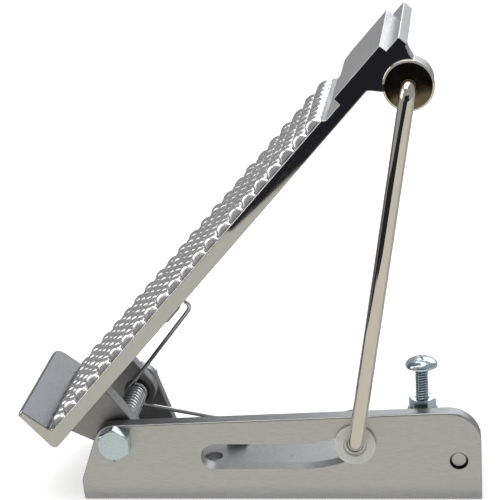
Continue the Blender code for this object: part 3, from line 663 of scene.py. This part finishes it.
def slot_outline(steps=20):
    """Half straight, half rising on an arc, with round ends."""
    bend_end = math.asin((CLEVIS.x - SLOT_BEND_X) / SLOT_BEND_RADIUS)
    spine = [(SLOT_HEEL_X, SLOT_Z, 0.0)]
    for k in range(steps + 1):
        turn = bend_end * k / steps
        spine.append((SLOT_BEND_X + SLOT_BEND_RADIUS * math.sin(turn),
                      SLOT_Z + SLOT_BEND_RADIUS * (1 - math.cos(turn)), turn))

    def offset(station, angle):
        return (station[0] + SLOT_HALF * math.cos(angle), station[1] + SLOT_HALF * math.sin(angle))

    outline = [offset(s, s[2] - math.pi / 2) for s in spine]
    outline += [offset(spine[-1], bend_end - math.pi / 2 + math.pi * k / steps)
                for k in range(1, steps)]
    outline += [offset(s, s[2] + math.pi / 2) for s in reversed(spine)]
    outline += [offset(spine[0], math.pi / 2 + math.pi * k / steps) for k in range(1, steps)]
    return outline


def make_base():
    floor = filleted([(HEEL_X + 0.3, NEAR_FACE + 0.4, 0), (TOE_X, NEAR_FACE + 0.4, 0),
                      (TOE_X, FAR_FACE - 8, 2.0), (TOE_X - 8, FAR_FACE, 2.0),
                      (HEEL_X + 0.3, FAR_FACE, 0)], 5)
    base = prism("base_casting_looks", floor, 0.0, FLOOR, axis="Z", rounding=0.5)
    hollow = 3.2
    cove_y = NEAR_INNER + hollow
    cove_z = FLOOR + hollow
    cove = [(NEAR_INNER - 1, FLOOR - 1), (cove_y, FLOOR - 1), (cove_y, FLOOR)]
    cove += [(cove_y - hollow * math.sin(a), cove_z - hollow * math.cos(a))
             for a in quarter_turn(6)[1:]]
    cove.append((NEAR_INNER - 1, cove_z))
    seat_top = HINGE.z - (COIL_RADIUS + WIRE + GAP) / math.cos(LEG_DROP)

    def under_leg(x):
        return (x, seat_top - x * math.tan(LEG_DROP), 0.8)
    seat = filleted([(45.0, FLOOR - 2, 0), (58.0, FLOOR - 2, 0), under_leg(55.0),
                     under_leg(48.5)], 4)
    rib_half = 4
    join(base,
         prism("tool", near_flange_outline(), NEAR_FACE, NEAR_INNER, rounding=0.9),
         prism("tool", far_ear_outline(), FAR_INNER, FAR_FACE, rounding=0.9),
         prism("tool", cove, HEEL_X + 2, TOE_X - 1.0, axis="X"),
         turned("tool", [(0, FLOOR - 2), (STOP_BOSS, FLOOR - 2), (STOP_BOSS, BOSS_TOP - 0.5),
                         (STOP_BOSS - 0.5, BOSS_TOP), (0, BOSS_TOP)], (*STOP, 0), axis="Z"),
         prism("tool", [(STOP[0] - rib_half, NEAR_INNER - 2), (STOP[0] + rib_half, NEAR_INNER - 2),
                        (STOP[0] + rib_half, STOP[1]), (STOP[0] - rib_half, STOP[1])],
               FLOOR - 2, BOSS_TOP - 1.5, axis="Z", rounding=0.6),
         prism("tool", seat, COIL_Y[1] - 6, COIL_Y[1] + 6, rounding=0.6))
    holes = [cutter(MOUNT_HOLE_RADIUS, -5, FLOOR + 5, (x, y, 0), axis="Z")
             for x, y in MOUNT_HOLES]
    sinks = [turned("cutter", [(0, FLOOR - 0.6), (MOUNT_HOLE_RADIUS - 0.1, FLOOR - 0.6),
                               (MOUNT_HOLE_RADIUS + 0.9, FLOOR + 0.4), (0, FLOOR + 0.4)],
                    (x, y, 0), axis="Z") for x, y in MOUNT_HOLES]
    cut(base,
        prism("cutter", slot_outline(), NEAR_FACE - 5, NEAR_INNER + 3),
        cutter(HINGE_HOLE, NEAR_FACE - 5, FAR_FACE + 5, (HINGE.x, 0, HINGE.z)),
        cutter(ANCHOR_HOLE, NEAR_FACE - 5, NEAR_INNER + 3, (ANCHOR[0], 0, ANCHOR[1])),
        cutter(STOP_RADIUS + GAP, -5, BOSS_TOP + 5, (*STOP, 0), axis="Z"),
        *holes, *sinks)
    soften(base, 0.25)

    def rule(normal, centre):
        return 0 if centre.y < NEAR_FACE + 0.6 else 1
    paint(base, (SANDED, AS_CAST), rule)
    stand_for(base, "base", "base_casting")


def chamfered_hex(name, across_flats, centre, low, high, chamfer, look, axis, turn, both=False):
    """A hexagon whose corners are turned off at the outer end (or at both)."""
    piece = prism(name, hexagon(across_flats, centre, turn), min(low, high), max(low, high),
                  looks=(look,), axis=axis)
    corner = across_flats / math.sqrt(3) + 0.4
    flat = across_flats / 2 + 0.1
    out = 1 if high > low else -1
    if both:
        profile = [(0, low), (flat, low), (corner, low + out * chamfer)]
    else:
        profile = [(0, low - out), (corner, low - out)]
    profile += [(corner, high - out * chamfer), (flat, high), (0, high)]
    middle = {"Y": (centre[0], 0, centre[1]), "Z": (centre[0], centre[1], 0)}[axis]
    keep(piece, turned("tool", profile, middle, axis=axis, steps=96))
    return soften(piece, 0.18, 25)


def make_hinge_screw(name, side, lug_face):
    """A hex screw through one wall, hollow at its inner end for the spring's arbor."""
    seat = side * (FAR_FACE + GAP)
    centre = (HINGE.x, 0, HINGE.z)
    head = chamfered_hex(name + "_looks", HINGE_HEX, (HINGE.x, HINGE.z), seat + side * 0.5,
                         seat + side * HINGE_HEAD, 1.0, ZINC, "Y", math.pi / 6)
    washer_face = turned("tool", [(0, seat - side * 0.2), (WASHER_FACE, seat - side * 0.2),
                                  (WASHER_FACE, seat + side * 0.8), (0, seat + side * 0.8)],
                         centre)
    low, high = sorted((lug_face, seat + side * 2))
    join(head, washer_face, bar("tool", HINGE_SHANK, low, high, centre, ease=0.5))
    low, high = sorted((lug_face + side * ARBOR_DEPTH, lug_face - side * 3))
    cut(head, cutter(ARBOR_HOLE, low, high, centre))
    stand_for(head, "base", name)


def helix(centre, radius, y_range, pitch, end_angle, per_turn=26):
    turns = (y_range[1] - y_range[0]) / pitch
    steps = round(turns * per_turn)
    path = []
    for k in range(steps + 1):
        share = k / steps
        angle = end_angle - math.tau * turns * (1 - share)
        path.append((centre[0] + radius * math.cos(angle), y_range[0] + share * turns * pitch,
                     centre[1] + radius * math.sin(angle)))
    return path


def make_coil():
    path = helix((HINGE.x, HINGE.z), COIL_RADIUS, COIL_Y, COIL_PITCH, -math.pi / 2 - LEG_DROP)
    foot = Vector(path[-1])
    heading = Vector((math.cos(LEG_DROP), 0, -math.sin(LEG_DROP)))
    path += [foot + heading * (LOWER_LEG * k / 12) for k in range(1, 13)]
    coil = swept("spring_coil_looks", path, WIRE, 14, looks=(WIRE_STEEL,))
    stand_for(coil, "base", "spring_coil")


def make_upper_leg():
    """The wire's last turn, its leg along the pedal, and the hook at the leg's end."""
    slope = math.radians(3.5)
    wrap = math.radians(320)
    hook = math.radians(115)
    hook_radius = 3.0
    path = []
    for k in range(41):
        angle = slope + math.pi / 2 + wrap * (1 - k / 40)
        path.append((COIL_RADIUS * math.cos(angle), UPPER_LEG_Y, COIL_RADIUS * math.sin(angle)))
    heading = Vector((math.cos(slope), 0, math.sin(slope)))
    upward = Vector((-math.sin(slope), 0, math.cos(slope)))
    root = Vector(path[-1])
    path += [root + heading * (UPPER_LEG * k / 12) for k in range(1, 13)]
    corner = Vector(path[-1])
    for k in range(1, 15):
        angle = hook * k / 14
        path.append(corner + heading * (hook_radius * math.sin(angle))
                    + upward * (hook_radius - hook_radius * math.cos(angle)))
    leg = swept("spring_leg_upper_looks", path, WIRE, 14, PEDAL_PLACE, (WIRE_STEEL,))
    stand_for(leg, "pedal", "spring_leg_upper")


# ---------------------------------------------------------------- stop screw

def threaded_bar(name, radius, pitch, depth, low, high, centre, looks):
    """A bar with a real single-start 60 degree thread."""
    sides = 36
    per_turn = 8
    rows = round((high - low) / pitch * per_turn)
    points = []
    for row in range(rows + 1):
        z = low + (high - low) * row / rows
        lead = min(1.0, (z - low) / (1.2 * pitch))
        for k in range(sides):
            phase = (z / pitch - k / sides) % 1.0
            ridge = min(1.0, max(0.0, 1.35 * (1 - abs(2 * phase - 1)) - 0.15))
            size = (radius - depth + depth * ridge) - (1 - lead) * depth
            angle = math.tau * k / sides
            points.append((centre[0] + size * math.cos(angle),
                           centre[1] + size * math.sin(angle), z))
    return new_piece(name, points, tube_faces(rows + 1, sides), looks=looks)


def cross_recess(top, depth, reach, width, turn):
    """Two tapered blades at right angles, the cutter for a cross recess."""
    blades = []
    for quarter in (0, 1):
        heading = turn + quarter * math.pi / 2
        points = []
        ends = ((top - depth, reach * 0.28, width * 0.5), (top + 1.0, reach * 1.12, width))
        for z, long, wide in ends:
            for a, b in ((-long, -wide), (long, -wide), (long, wide), (-long, wide)):
                points.append((STOP[0] + a * math.cos(heading) - b * math.sin(heading),
                               STOP[1] + a * math.sin(heading) + b * math.cos(heading), z))
        blades.append(new_piece("cutter", points, [[0, 3, 2, 1], [4, 5, 6, 7], [0, 1, 5, 4],
                                                   [1, 2, 6, 5], [2, 3, 7, 6], [3, 0, 4, 7]]))
    return blades


def make_stop():
    top = STOP_HIGH.z
    profile = [(0, STOP_SEAT), (HEAD_RADIUS - 0.5, STOP_SEAT),
               (HEAD_RADIUS - 0.12, STOP_SEAT + 0.15)]
    for k in range(17):
        angle = math.pi / 2 * k / 16
        profile.append((HEAD_RADIUS * math.cos(angle) if k < 16 else 0,
                        STOP_SEAT + 0.8 + (top - STOP_SEAT - 0.8) * math.sin(angle)))
    screw = turned("stop_screw_looks", profile, (*STOP, 0), looks=(ZINC,), axis="Z", steps=72)
    cut(screw, *cross_recess(top, depth=2.6, reach=3.3, width=0.62, turn=math.radians(20)))
    join(screw, threaded_bar("tool", STOP_RADIUS, STOP_PITCH, THREAD_DEPTH,
                             STOP_SEAT - STOP_LENGTH, STOP_SEAT + 0.5, STOP, (ZINC,)))
    smooth(screw.data, 26)

    def rule(normal, centre):
        reach = math.hypot(centre.x - STOP[0], centre.y - STOP[1])
        # Faces deep in the thread grooves get the darker zinc, painted shade
        groove_painted_shade = reach < STOP_RADIUS - 0.33 and centre.z < STOP_SEAT - 0.2
        return 1 if groove_painted_shade else 0
    paint(screw, (ZINC, ZINC_PAINTED_GROOVE_SHADE), rule)
    stand_for(screw, "stop", "stop_screw")

    nut = chamfered_hex("stop_jam_nut_looks", NUT_FLATS, STOP, NUT_LOW.z, NUT_HIGH.z, 0.9, ZINC,
                        "Z", math.radians(-6.3), both=True)
    cut(nut, cutter(STOP_RADIUS + GAP, NUT_LOW.z - 2, NUT_HIGH.z + 2, (*STOP, 0), axis="Z"))
    stand_for(nut, "base", "stop_jam_nut")


# ---------------------------------------------------------------- cable anchor

def make_anchor():
    groove = NEAR_INNER + GAP
    radius, core, end = 3.75, 3.05, -15.6
    spacer_radius = 5.8
    conduit_bore, screw_bore, screw_radius, screw_socket = 3.2, 2.7, 2.4, 2.5
    start = NEAR_FACE + 1.0
    centre = (ANCHOR[0], 0, ANCHOR[1] + 0.3)
    profile = [(0, start + 0.35), (2.0, start + 0.25), (radius - 0.5, start),
               (radius, start + 0.5), (radius, groove), (core, groove), (core, groove + 1.0),
               (radius, groove + 1.0), (radius, end - 0.5), (radius - 0.5, end), (0, end)]
    pin = turned("cable_anchor_pin_looks", profile, centre, looks=(SANDED,))
    stand_for(pin, "base", "cable_anchor_pin")
    near, far = BLOCK_LOW.y, BLOCK_HIGH.y
    spacer = collar("anchor_spacer_looks", radius + GAP, spacer_radius, groove + 1.3, near - GAP,
                    centre, looks=(ZINC,))
    stand_for(spacer, "base", "anchor_spacer")
    sides = filleted([(BLOCK_LOW.x, BLOCK_LOW.z, 2.5), (BLOCK_LOW.x, BLOCK_HIGH.z, 1.5),
                      (BLOCK_HIGH.x, BLOCK_HIGH.z, 1.5), (BLOCK_HIGH.x, BLOCK_LOW.z, 2.5)], 8)
    middle = ((BLOCK_LOW.x + BLOCK_HIGH.x) / 2, (near + far) / 2)
    block = prism("cable_anchor_block_looks", sides, near, far, looks=(AS_CAST,), rounding=0.5)
    cut(block, cutter(radius + GAP, near - 3, end + GAP, centre),
        cutter(conduit_bore, BLOCK_LOW.x - 5, BLOCK_HIGH.x + 5, (0, middle[1], ANCHOR[1]),
               axis="X"),
        cutter(screw_bore, ANCHOR[1] + 1, BLOCK_HIGH.z + 3, (*middle, 0), axis="Z"))
    soften(block, 0.2)
    stand_for(block, "base", "cable_anchor_block")
    top = BLOCK_HIGH.z + 0.5
    screw = bar("anchor_set_screw_looks", screw_radius, ANCHOR[1] + 3.5, top, (*middle, 0),
                looks=(BLUED,), axis="Z", ease=0.35)
    cut(screw, prism("cutter", hexagon(screw_socket, middle), top - 2.0, top + 2.5, axis="Z"))
    stand_for(screw, "base", "anchor_set_screw")


# ---------------------------------------------------------------- pedal

def pedal_outline():
    """Side outline of the casting without the tread's bumps and the toe plate."""
    return filleted([(HEEL_U, UNDERSIDE, 2.6), (TOE_U, UNDERSIDE, 0.5), (TOE_U, SLAB_TOP, 0.6),
                     (TREAD_U[1] + 1.0, SLAB_TOP, 0.5), (TREAD_U[1] - 0.6, RAIL_TOP, 0.5),
                     (-15.4, RAIL_TOP, 3.0), (-16.9, WALL_TOP - 0.8, 0.9), (-19.7, WALL_TOP, 1.0)],
                    8)


def wall_corner(side, radius):
    """Cutter outline, in y and w, that rounds one top corner of the heel wall."""
    edge = side * PEDAL_HALF
    outline = [(edge + side * 2, WALL_TOP + 2), (edge + side * 2, WALL_TOP - radius)]
    outline += [(edge - side * radius * (1 - math.cos(a)), WALL_TOP - radius * (1 - math.sin(a)))
                for a in quarter_turn(16)]
    return outline + [(edge - side * radius, WALL_TOP + 2)]


def lug_outline():
    def tangent_angle(u, w, side):
        return math.atan2(w, u) + side * math.acos(LUG_RADIUS / math.hypot(u, w))
    root = UNDERSIDE + 1.5
    heel = tangent_angle(LUG_ROOT[0], root, 1)
    toe = tangent_angle(LUG_ROOT[1], root, -1) + math.tau
    angles = [heel + (toe - heel) * k / 40 for k in range(41)]
    arc = [(LUG_RADIUS * math.cos(a), LUG_RADIUS * math.sin(a)) for a in angles]
    return [(LUG_ROOT[0], root), *arc, (LUG_ROOT[1], root)]


def make_pedal():
    edge = -PEDAL_HALF
    body = prism("pedal_casting_looks", pedal_outline(), edge, PEDAL_HALF, PEDAL_PLACE,
                 rounding=0.45)
    web = filleted([(206.5, UNDERSIDE + 1.5, 0), (209.8, UNDERSIDE - 0.5, 4.0),
                    (213.6, 13.4, 0), (*BOSS, 0), (232.6, 13.0, 0),
                    (233.6, UNDERSIDE - 3.0, 3.0), (TOE_U - 0.2, UNDERSIDE + 1.5, 0)], 10)
    pad_low = UNDERSIDE - 7.2
    pad = filleted([(37.0, UNDERSIDE + 1.5, 0), (42.0, pad_low, 4.0), (55.0, pad_low, 3.0),
                    (55.0, UNDERSIDE + 1.5, 0)], 8)
    plate = filleted([(PLATE_U[0] - 0.3, SLAB_TOP - 1.5, 0), (PLATE_U[0], PLATE_TOP, 0.4),
                      (PLATE_U[1], PLATE_TOP, 0.4), (PLATE_U[1] + 0.3, SLAB_TOP - 1.5, 0)], 4)
    raised = prism("tool", plate, edge, PEDAL_HALF, PEDAL_PLACE, rounding=0.35)
    bevel = [(PLATE_U[0] - 2, PEDAL_HALF - PLATE_CORNER),
             (PLATE_U[0] + PLATE_CORNER, PEDAL_HALF + 2), (PLATE_U[0] - 2, PEDAL_HALF + 2)]
    cut(raised, prism("cutter", bevel, SLAB_TOP - 3.0, PLATE_TOP + 3, PEDAL_PLACE, axis="Z"))
    boss_centre = (BOSS[0], 0, BOSS[1])
    join(body, raised,
         prism("tool", lug_outline(), *NEAR_LUG, PEDAL_PLACE, rounding=0.6),
         prism("tool", lug_outline(), *FAR_LUG, PEDAL_PLACE, rounding=0.6),
         prism("tool", web, edge, BOSS_END_Y, PEDAL_PLACE, rounding=0.4),
         bar("tool", BOSS_RADIUS, edge, BOSS_END_Y, boss_centre, PEDAL_PLACE, ease=0.5),
         prism("tool", pad, UPPER_LEG_Y - 6, UPPER_LEG_Y + 6, PEDAL_PLACE, rounding=0.6))
    corners = [prism("cutter", wall_corner(side, radius), HEEL_U - 5, TREAD_U[0] - 0.6,
                     PEDAL_PLACE, axis="X") for side, radius in ((-1, 2.5), (1, 7.0))]
    cut(body, *corners,
        cutter(BUSH_BORE, NEAR_LUG[0] - 3, FAR_LUG[1] + 3, (0, 0, 0), PEDAL_PLACE),
        cutter(ROD_BUSH_BORE, edge - 3, BOSS_END_Y + 3, boss_centre, PEDAL_PLACE))
    soften(body, 0.2)

    def rule(normal, centre):
        if abs(normal.y) > 0.6 and abs(centre.y) > PEDAL_HALF - 0.6:
            return 0
        if normal.z > 0.5 and centre.x > TREAD_U[0]:
            return 1
        if centre.z > SLAB_TOP - 2 and centre.x > TREAD_U[1]:
            return 1
        # The heel wall's inner face gets the near-black metal, painted shade
        if normal.x > 0.7 and centre.x < TREAD_U[0] and centre.z > RAIL_TOP:
            return 3
        return 2
    paint(body, (GROUND, PLATE, AS_CAST, HEEL_WALL_PAINTED_SHADE), rule)
    stand_for(body, "pedal", "pedal_casting")


def pillow(share, power):
    """Height of a rounded bump across its cell, 0 at the grooves and 1 at the crest."""
    return max(0.0, 1 - abs(2 * share - 1) ** power) ** 0.62


def make_tread():
    """The cast grip: a grid of pillow-shaped bumps with grooves between them."""
    draw = random.Random(7)
    across = along = 14
    lean = 0.82
    saddle, ridge = 0.22, 0.78
    u0, u1 = TREAD_U[0] + 0.3, TREAD_U[1] - 1.0
    y0, y1 = -PEDAL_HALF + TREAD_SIDE_MARGIN, PEDAL_HALF - TREAD_SIDE_MARGIN
    lift = [[draw.uniform(0.90, 1.0) for _ in range(TREAD_COLUMNS)] for _ in range(TREAD_ROWS)]
    nu, ny = TREAD_ROWS * along, TREAD_COLUMNS * across
    points = []
    for i in range(nu + 1):
        for j in range(ny + 1):
            row = min(i // along, TREAD_ROWS - 1)
            column = min(j // across, TREAD_COLUMNS - 1)
            a = i / along - row
            b = j / across - column
            crest = pillow(a ** lean, 2.3) * (saddle + ridge * pillow(b, 2.6))
            fade = min(1.0, min(j, ny - j) / (0.25 * across)) ** 0.5
            height = TREAD_HEIGHT * lift[row][column] * crest * fade
            points.append((u0 + (u1 - u0) * i / nu, y0 + (y1 - y0) * j / ny,
                           RAIL_TOP - 0.05 + height))
    faces = []
    for i in range(nu):
        for j in range(ny):
            k = i * (ny + 1) + j
            faces.append([k, k + 1, k + ny + 2, k + ny + 1])
    rim = list(range(ny + 1))
    rim += [i * (ny + 1) + ny for i in range(1, nu + 1)]
    rim += [nu * (ny + 1) + j for j in reversed(range(ny))]
    rim += [i * (ny + 1) for i in reversed(range(1, nu))]
    base = len(points)
    for index in rim:
        u, y, _ = points[index]
        points.append((u, y, RAIL_TOP - 0.9))
    count = len(rim)
    for k in range(count):
        j = (k + 1) % count
        faces.append([rim[k], rim[j], base + j, base + k])
    faces.append([base + k for k in range(count)])
    tread = new_piece("pedal_tread_bumps", points, faces, PEDAL_PLACE, (TREAD,))
    smooth(tread.data, 60)
    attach(tread, "pedal")


# ---------------------------------------------------------------- link rod

def make_link():
    inner_end = BOSS_END_Y + 4.4
    foot_y = NEAR_FACE - GAP - 2.2 - GAP
    path = [(0, inner_end, 0), (0, ROD_Y + ROD_BEND + 2, 0)]
    bend = quarter_turn(18)
    path += [(0, ROD_Y + ROD_BEND * (1 - math.sin(a)), -ROD_BEND * (1 - math.cos(a)))
             for a in bend]
    path += [(0, ROD_Y, -ROD_LENGTH * share) for share in (0.25, 0.5, 0.75)]
    path += [(0, ROD_Y + ROD_BEND * (1 - math.cos(a)), -ROD_LENGTH + ROD_BEND * (1 - math.sin(a)))
             for a in bend]
    path.append((0, foot_y, -ROD_LENGTH))
    rod = swept("link_rod_looks", path, ROD_RADIUS, 48, LINK_PLACE, (CHROME,), ease=0.4)
    stand_for(rod, "link", "link_rod")
    face = -PEDAL_HALF - GAP
    bore = ROD_RADIUS + GAP
    disc_radius, painted_highlight_from = 11.5, 10.8
    profile = filleted([(bore, face, 0), (disc_radius, face, 0.3),
                        (disc_radius, face - 0.9, 0.4), (10.4, face - 1.6, 0.5),
                        (bore, face - 1.6, 0)], 5)
    disc = turned("rod_shoulder_disc_looks", profile, (0, 0, 0), LINK_PLACE, steps=128)
    # The disc's face gets the dark nickel, a painted dark reflection; its outer rim gets bright
    # nickel, a painted highlight
    paint(disc, (NICKEL_DISC_PAINTED_DARK, CHROME),
          lambda normal, centre: 1 if math.hypot(centre.x, centre.z) > painted_highlight_from else 0)
    stand_for(disc, "link", "rod_shoulder_disc")
    back = BOSS_END_Y + GAP
    washer = collar("rod_inner_washer_looks", bore, 8.2, back, back + 1.2, (0, 0, 0),
                    LINK_PLACE, (ZINC,))
    stand_for(washer, "link", "rod_inner_washer")
    profile = [(bore, back + 1.5), (6.8, back + 1.5), (6.8, back + 2.1), (5.6, back + 2.5),
               (5.2, back + 3.4), (bore, back + 3.4)]
    nut = turned("rod_push_nut_looks", eased(profile, 0.2), (0, 0, 0), LINK_PLACE, (BLUED,))
    notches = []
    for quarter in range(4):
        angle = math.pi / 4 + math.pi / 2 * quarter
        centre = (6.0 * math.cos(angle), 0, 6.0 * math.sin(angle))
        notches.append(cutter(0.9, back + 1.0, back + 4.0, centre, LINK_PLACE, steps=20))
    cut(nut, *notches)
    stand_for(nut, "link", "rod_push_nut")


# ---------------------------------------------------------------- slider

def make_slider():
    centre = (CLEVIS.x, 0, CLEVIS.z)
    face = BUSHING_FACE
    seat = face + 2.2
    bore, barrel, flange, recess_radius = 4.0, 5.0, 9.8, 5.5
    recess = face + 1.2
    end = NEAR_INNER + GAP
    profile = filleted([(bore, recess, 0), (recess_radius, recess, 0.3),
                        (recess_radius, face, 0.35), (flange, face, 0.7), (flange, seat, 0.4),
                        (barrel, seat, 0.2), (barrel, end, 0.4), (bore, end, 0)], 5)
    bushing = turned("slot_bushing_looks", profile, centre, looks=(NYLON,), steps=96)
    stand_for(bushing, "slider", "slot_bushing")
    radius, tip, core, pin_end = 3.7, 3.3, 3.0, -15.2
    groove = pin_end - 1.7
    profile = [(0, recess), (tip, recess), (radius, recess + 0.4), (radius, groove),
               (core, groove), (core, groove + 1.0), (radius, groove + 1.0),
               (radius, pin_end - 0.4), (tip, pin_end), (0, pin_end)]
    pin = turned("slider_pin_looks", profile, centre, looks=(CHROME,))
    stand_for(pin, "slider", "slider_pin")


# ---------------------------------------------------------------- carried-over nodes

KEPT_LOOKS = {
    "spring_arbor": BLUED, "hinge_bush_near": BRONZE, "hinge_bush_far": BRONZE,
    "rod_bush": BRONZE, "slot_washer": ZINC, "slider_spacer": CHROME, "slider_clip": BLUED,
    "anchor_clip": BLUED, "cable_clevis": ZINC,
}


def dress_kept_nodes():
    for name, look in KEPT_LOOKS.items():
        mesh = frame["nodes"][name].data
        mesh.materials.clear()
        mesh.materials.append(look)


# ---------------------------------------------------------------- stage, light and camera

def flat_sheet(name, corners, look):
    mesh = bpy.data.meshes.new(name)
    mesh.from_pydata([Vector(corner) for corner in corners], [], [list(range(len(corners)))])
    mesh.materials.append(look)
    sheet = add_object(name, mesh)
    return sheet


def level(x, y, z):
    """Corners of a level rectangle, from its two x and two y."""
    return [(x[0], y[0], z), (x[1], y[0], z), (x[1], y[1], z), (x[0], y[1], z)]


def upright(x, y, z):
    """Corners of a rectangle that stands across y, from its two x and two z."""
    return [(x[0], y, z[0]), (x[1], y, z[0]), (x[1], y, z[1]), (x[0], y, z[1])]


def reflected_only(sheet):
    sheet.visible_camera = False
    sheet.visible_diffuse = False
    sheet.visible_shadow = False
    sheet.visible_transmission = False


def make_stage():
    """A pale floor and a white backdrop, and the cards that only reflections see, in metres.

    The metals mirror the beige card up to light_edge, and the dark cards beyond it.
    """
    reach = 6.0
    wide = (-reach, reach)
    floor = flat_sheet("studio_floor", level(wide, wide, -0.0002), studio_floor("pale_floor"))
    floor.visible_glossy = False
    backdrop = flat_sheet("studio_backdrop", upright(wide, reach, (-0.1, 8.0)),
                          card("white_backdrop", (1.0, 1.0, 1.0)))
    backdrop.visible_glossy = False
    backdrop.visible_diffuse = False
    dark = card("dark_card", (0.020, 0.020, 0.026))
    beige = card("beige_card", (0.63, 0.615, 0.57))
    grey = card("grey_card", (0.42, 0.42, 0.425))
    near = -0.045
    light_edge = [(-0.30, -0.36), (0.002, -0.455), (0.037, -0.585), (0.10, -0.80), (1.4, -0.80)]
    beige_outline = [(light_edge[0][0], near), *light_edge, (light_edge[-1][0], near)]
    dark_x, dark_y = (-1.2, 1.4), -2.2
    sheets = [
        flat_sheet("beige_floor_card", [(x, y, 0.0002) for x, y in beige_outline], beige),
        flat_sheet("grey_floor_card", level(wide, (near, reach), 0.0001), grey),
        flat_sheet("dark_floor_card", level(dark_x, (near, dark_y), 0.0001), dark),
        flat_sheet("dark_wall_card", upright(dark_x, dark_y, (0.0, 1.1)), dark),
    ]
    for sheet in sheets:
        reflected_only(sheet)


def area_light(name, place, target, size, power, colour=(1.0, 1.0, 1.0)):
    data = bpy.data.lights.new(name, "AREA")
    data.shape = "RECTANGLE"
    data.size, data.size_y = size
    data.energy = power
    data.color = colour
    lamp = add_object(name, data)
    lamp.location = place
    lamp.rotation_euler = (Vector(target) - Vector(place)).to_track_quat("-Z", "Y").to_euler()


def make_light():
    world = bpy.data.worlds.new("soft_room")
    bpy.context.scene.world = world
    world.use_nodes = True
    background = world.node_tree.nodes["Background"]
    background.inputs["Color"].default_value = (1.0, 1.0, 1.0, 1.0)
    background.inputs["Strength"].default_value = 0.33
    middle = (0.08, 0.0, 0.10)
    area_light("top_box", (-0.1, 0.1, 1.3), middle, (1.2, 1.0), 9.0)
    area_light("left_box", (-1.2, -0.2, 0.7), middle, (0.7, 0.9), 4.5, (1.0, 0.98, 0.95))
    area_light("back_box", (0.5, 1.2, 0.8), middle, (1.2, 0.8), 6.0, (0.95, 0.98, 1.0))


def make_camera():
    """A long lens, a little above the object and to its toe side, tipped slightly."""
    data = bpy.data.cameras.new("camera")
    data.lens = CAMERA_LENS
    data.sensor_width = 36.0
    data.clip_start = 0.01
    data.clip_end = 50.0
    camera = add_object("camera", data)
    camera.matrix_world = (Matrix.Translation(CAMERA_PLACE)
                           @ Matrix.Rotation(CAMERA_AZIMUTH, 4, "Z")
                           @ Matrix.Rotation(math.pi / 2 - CAMERA_ELEVATION, 4, "X")
                           @ Matrix.Rotation(CAMERA_ROLL, 4, "Z"))
    bpy.context.scene.camera = camera


make_camera()
make_base()
make_hinge_screw("hinge_screw_near", -1, NEAR_LUG[1])
make_hinge_screw("hinge_screw_far", 1, FAR_LUG[0])
make_coil()
make_upper_leg()
make_stop()
make_anchor()
make_pedal()
make_tread()
make_link()
make_slider()
dress_kept_nodes()
make_stage()
make_light()
bpy.context.scene.view_settings.view_transform = "Standard"
bpy.context.view_layer.update()
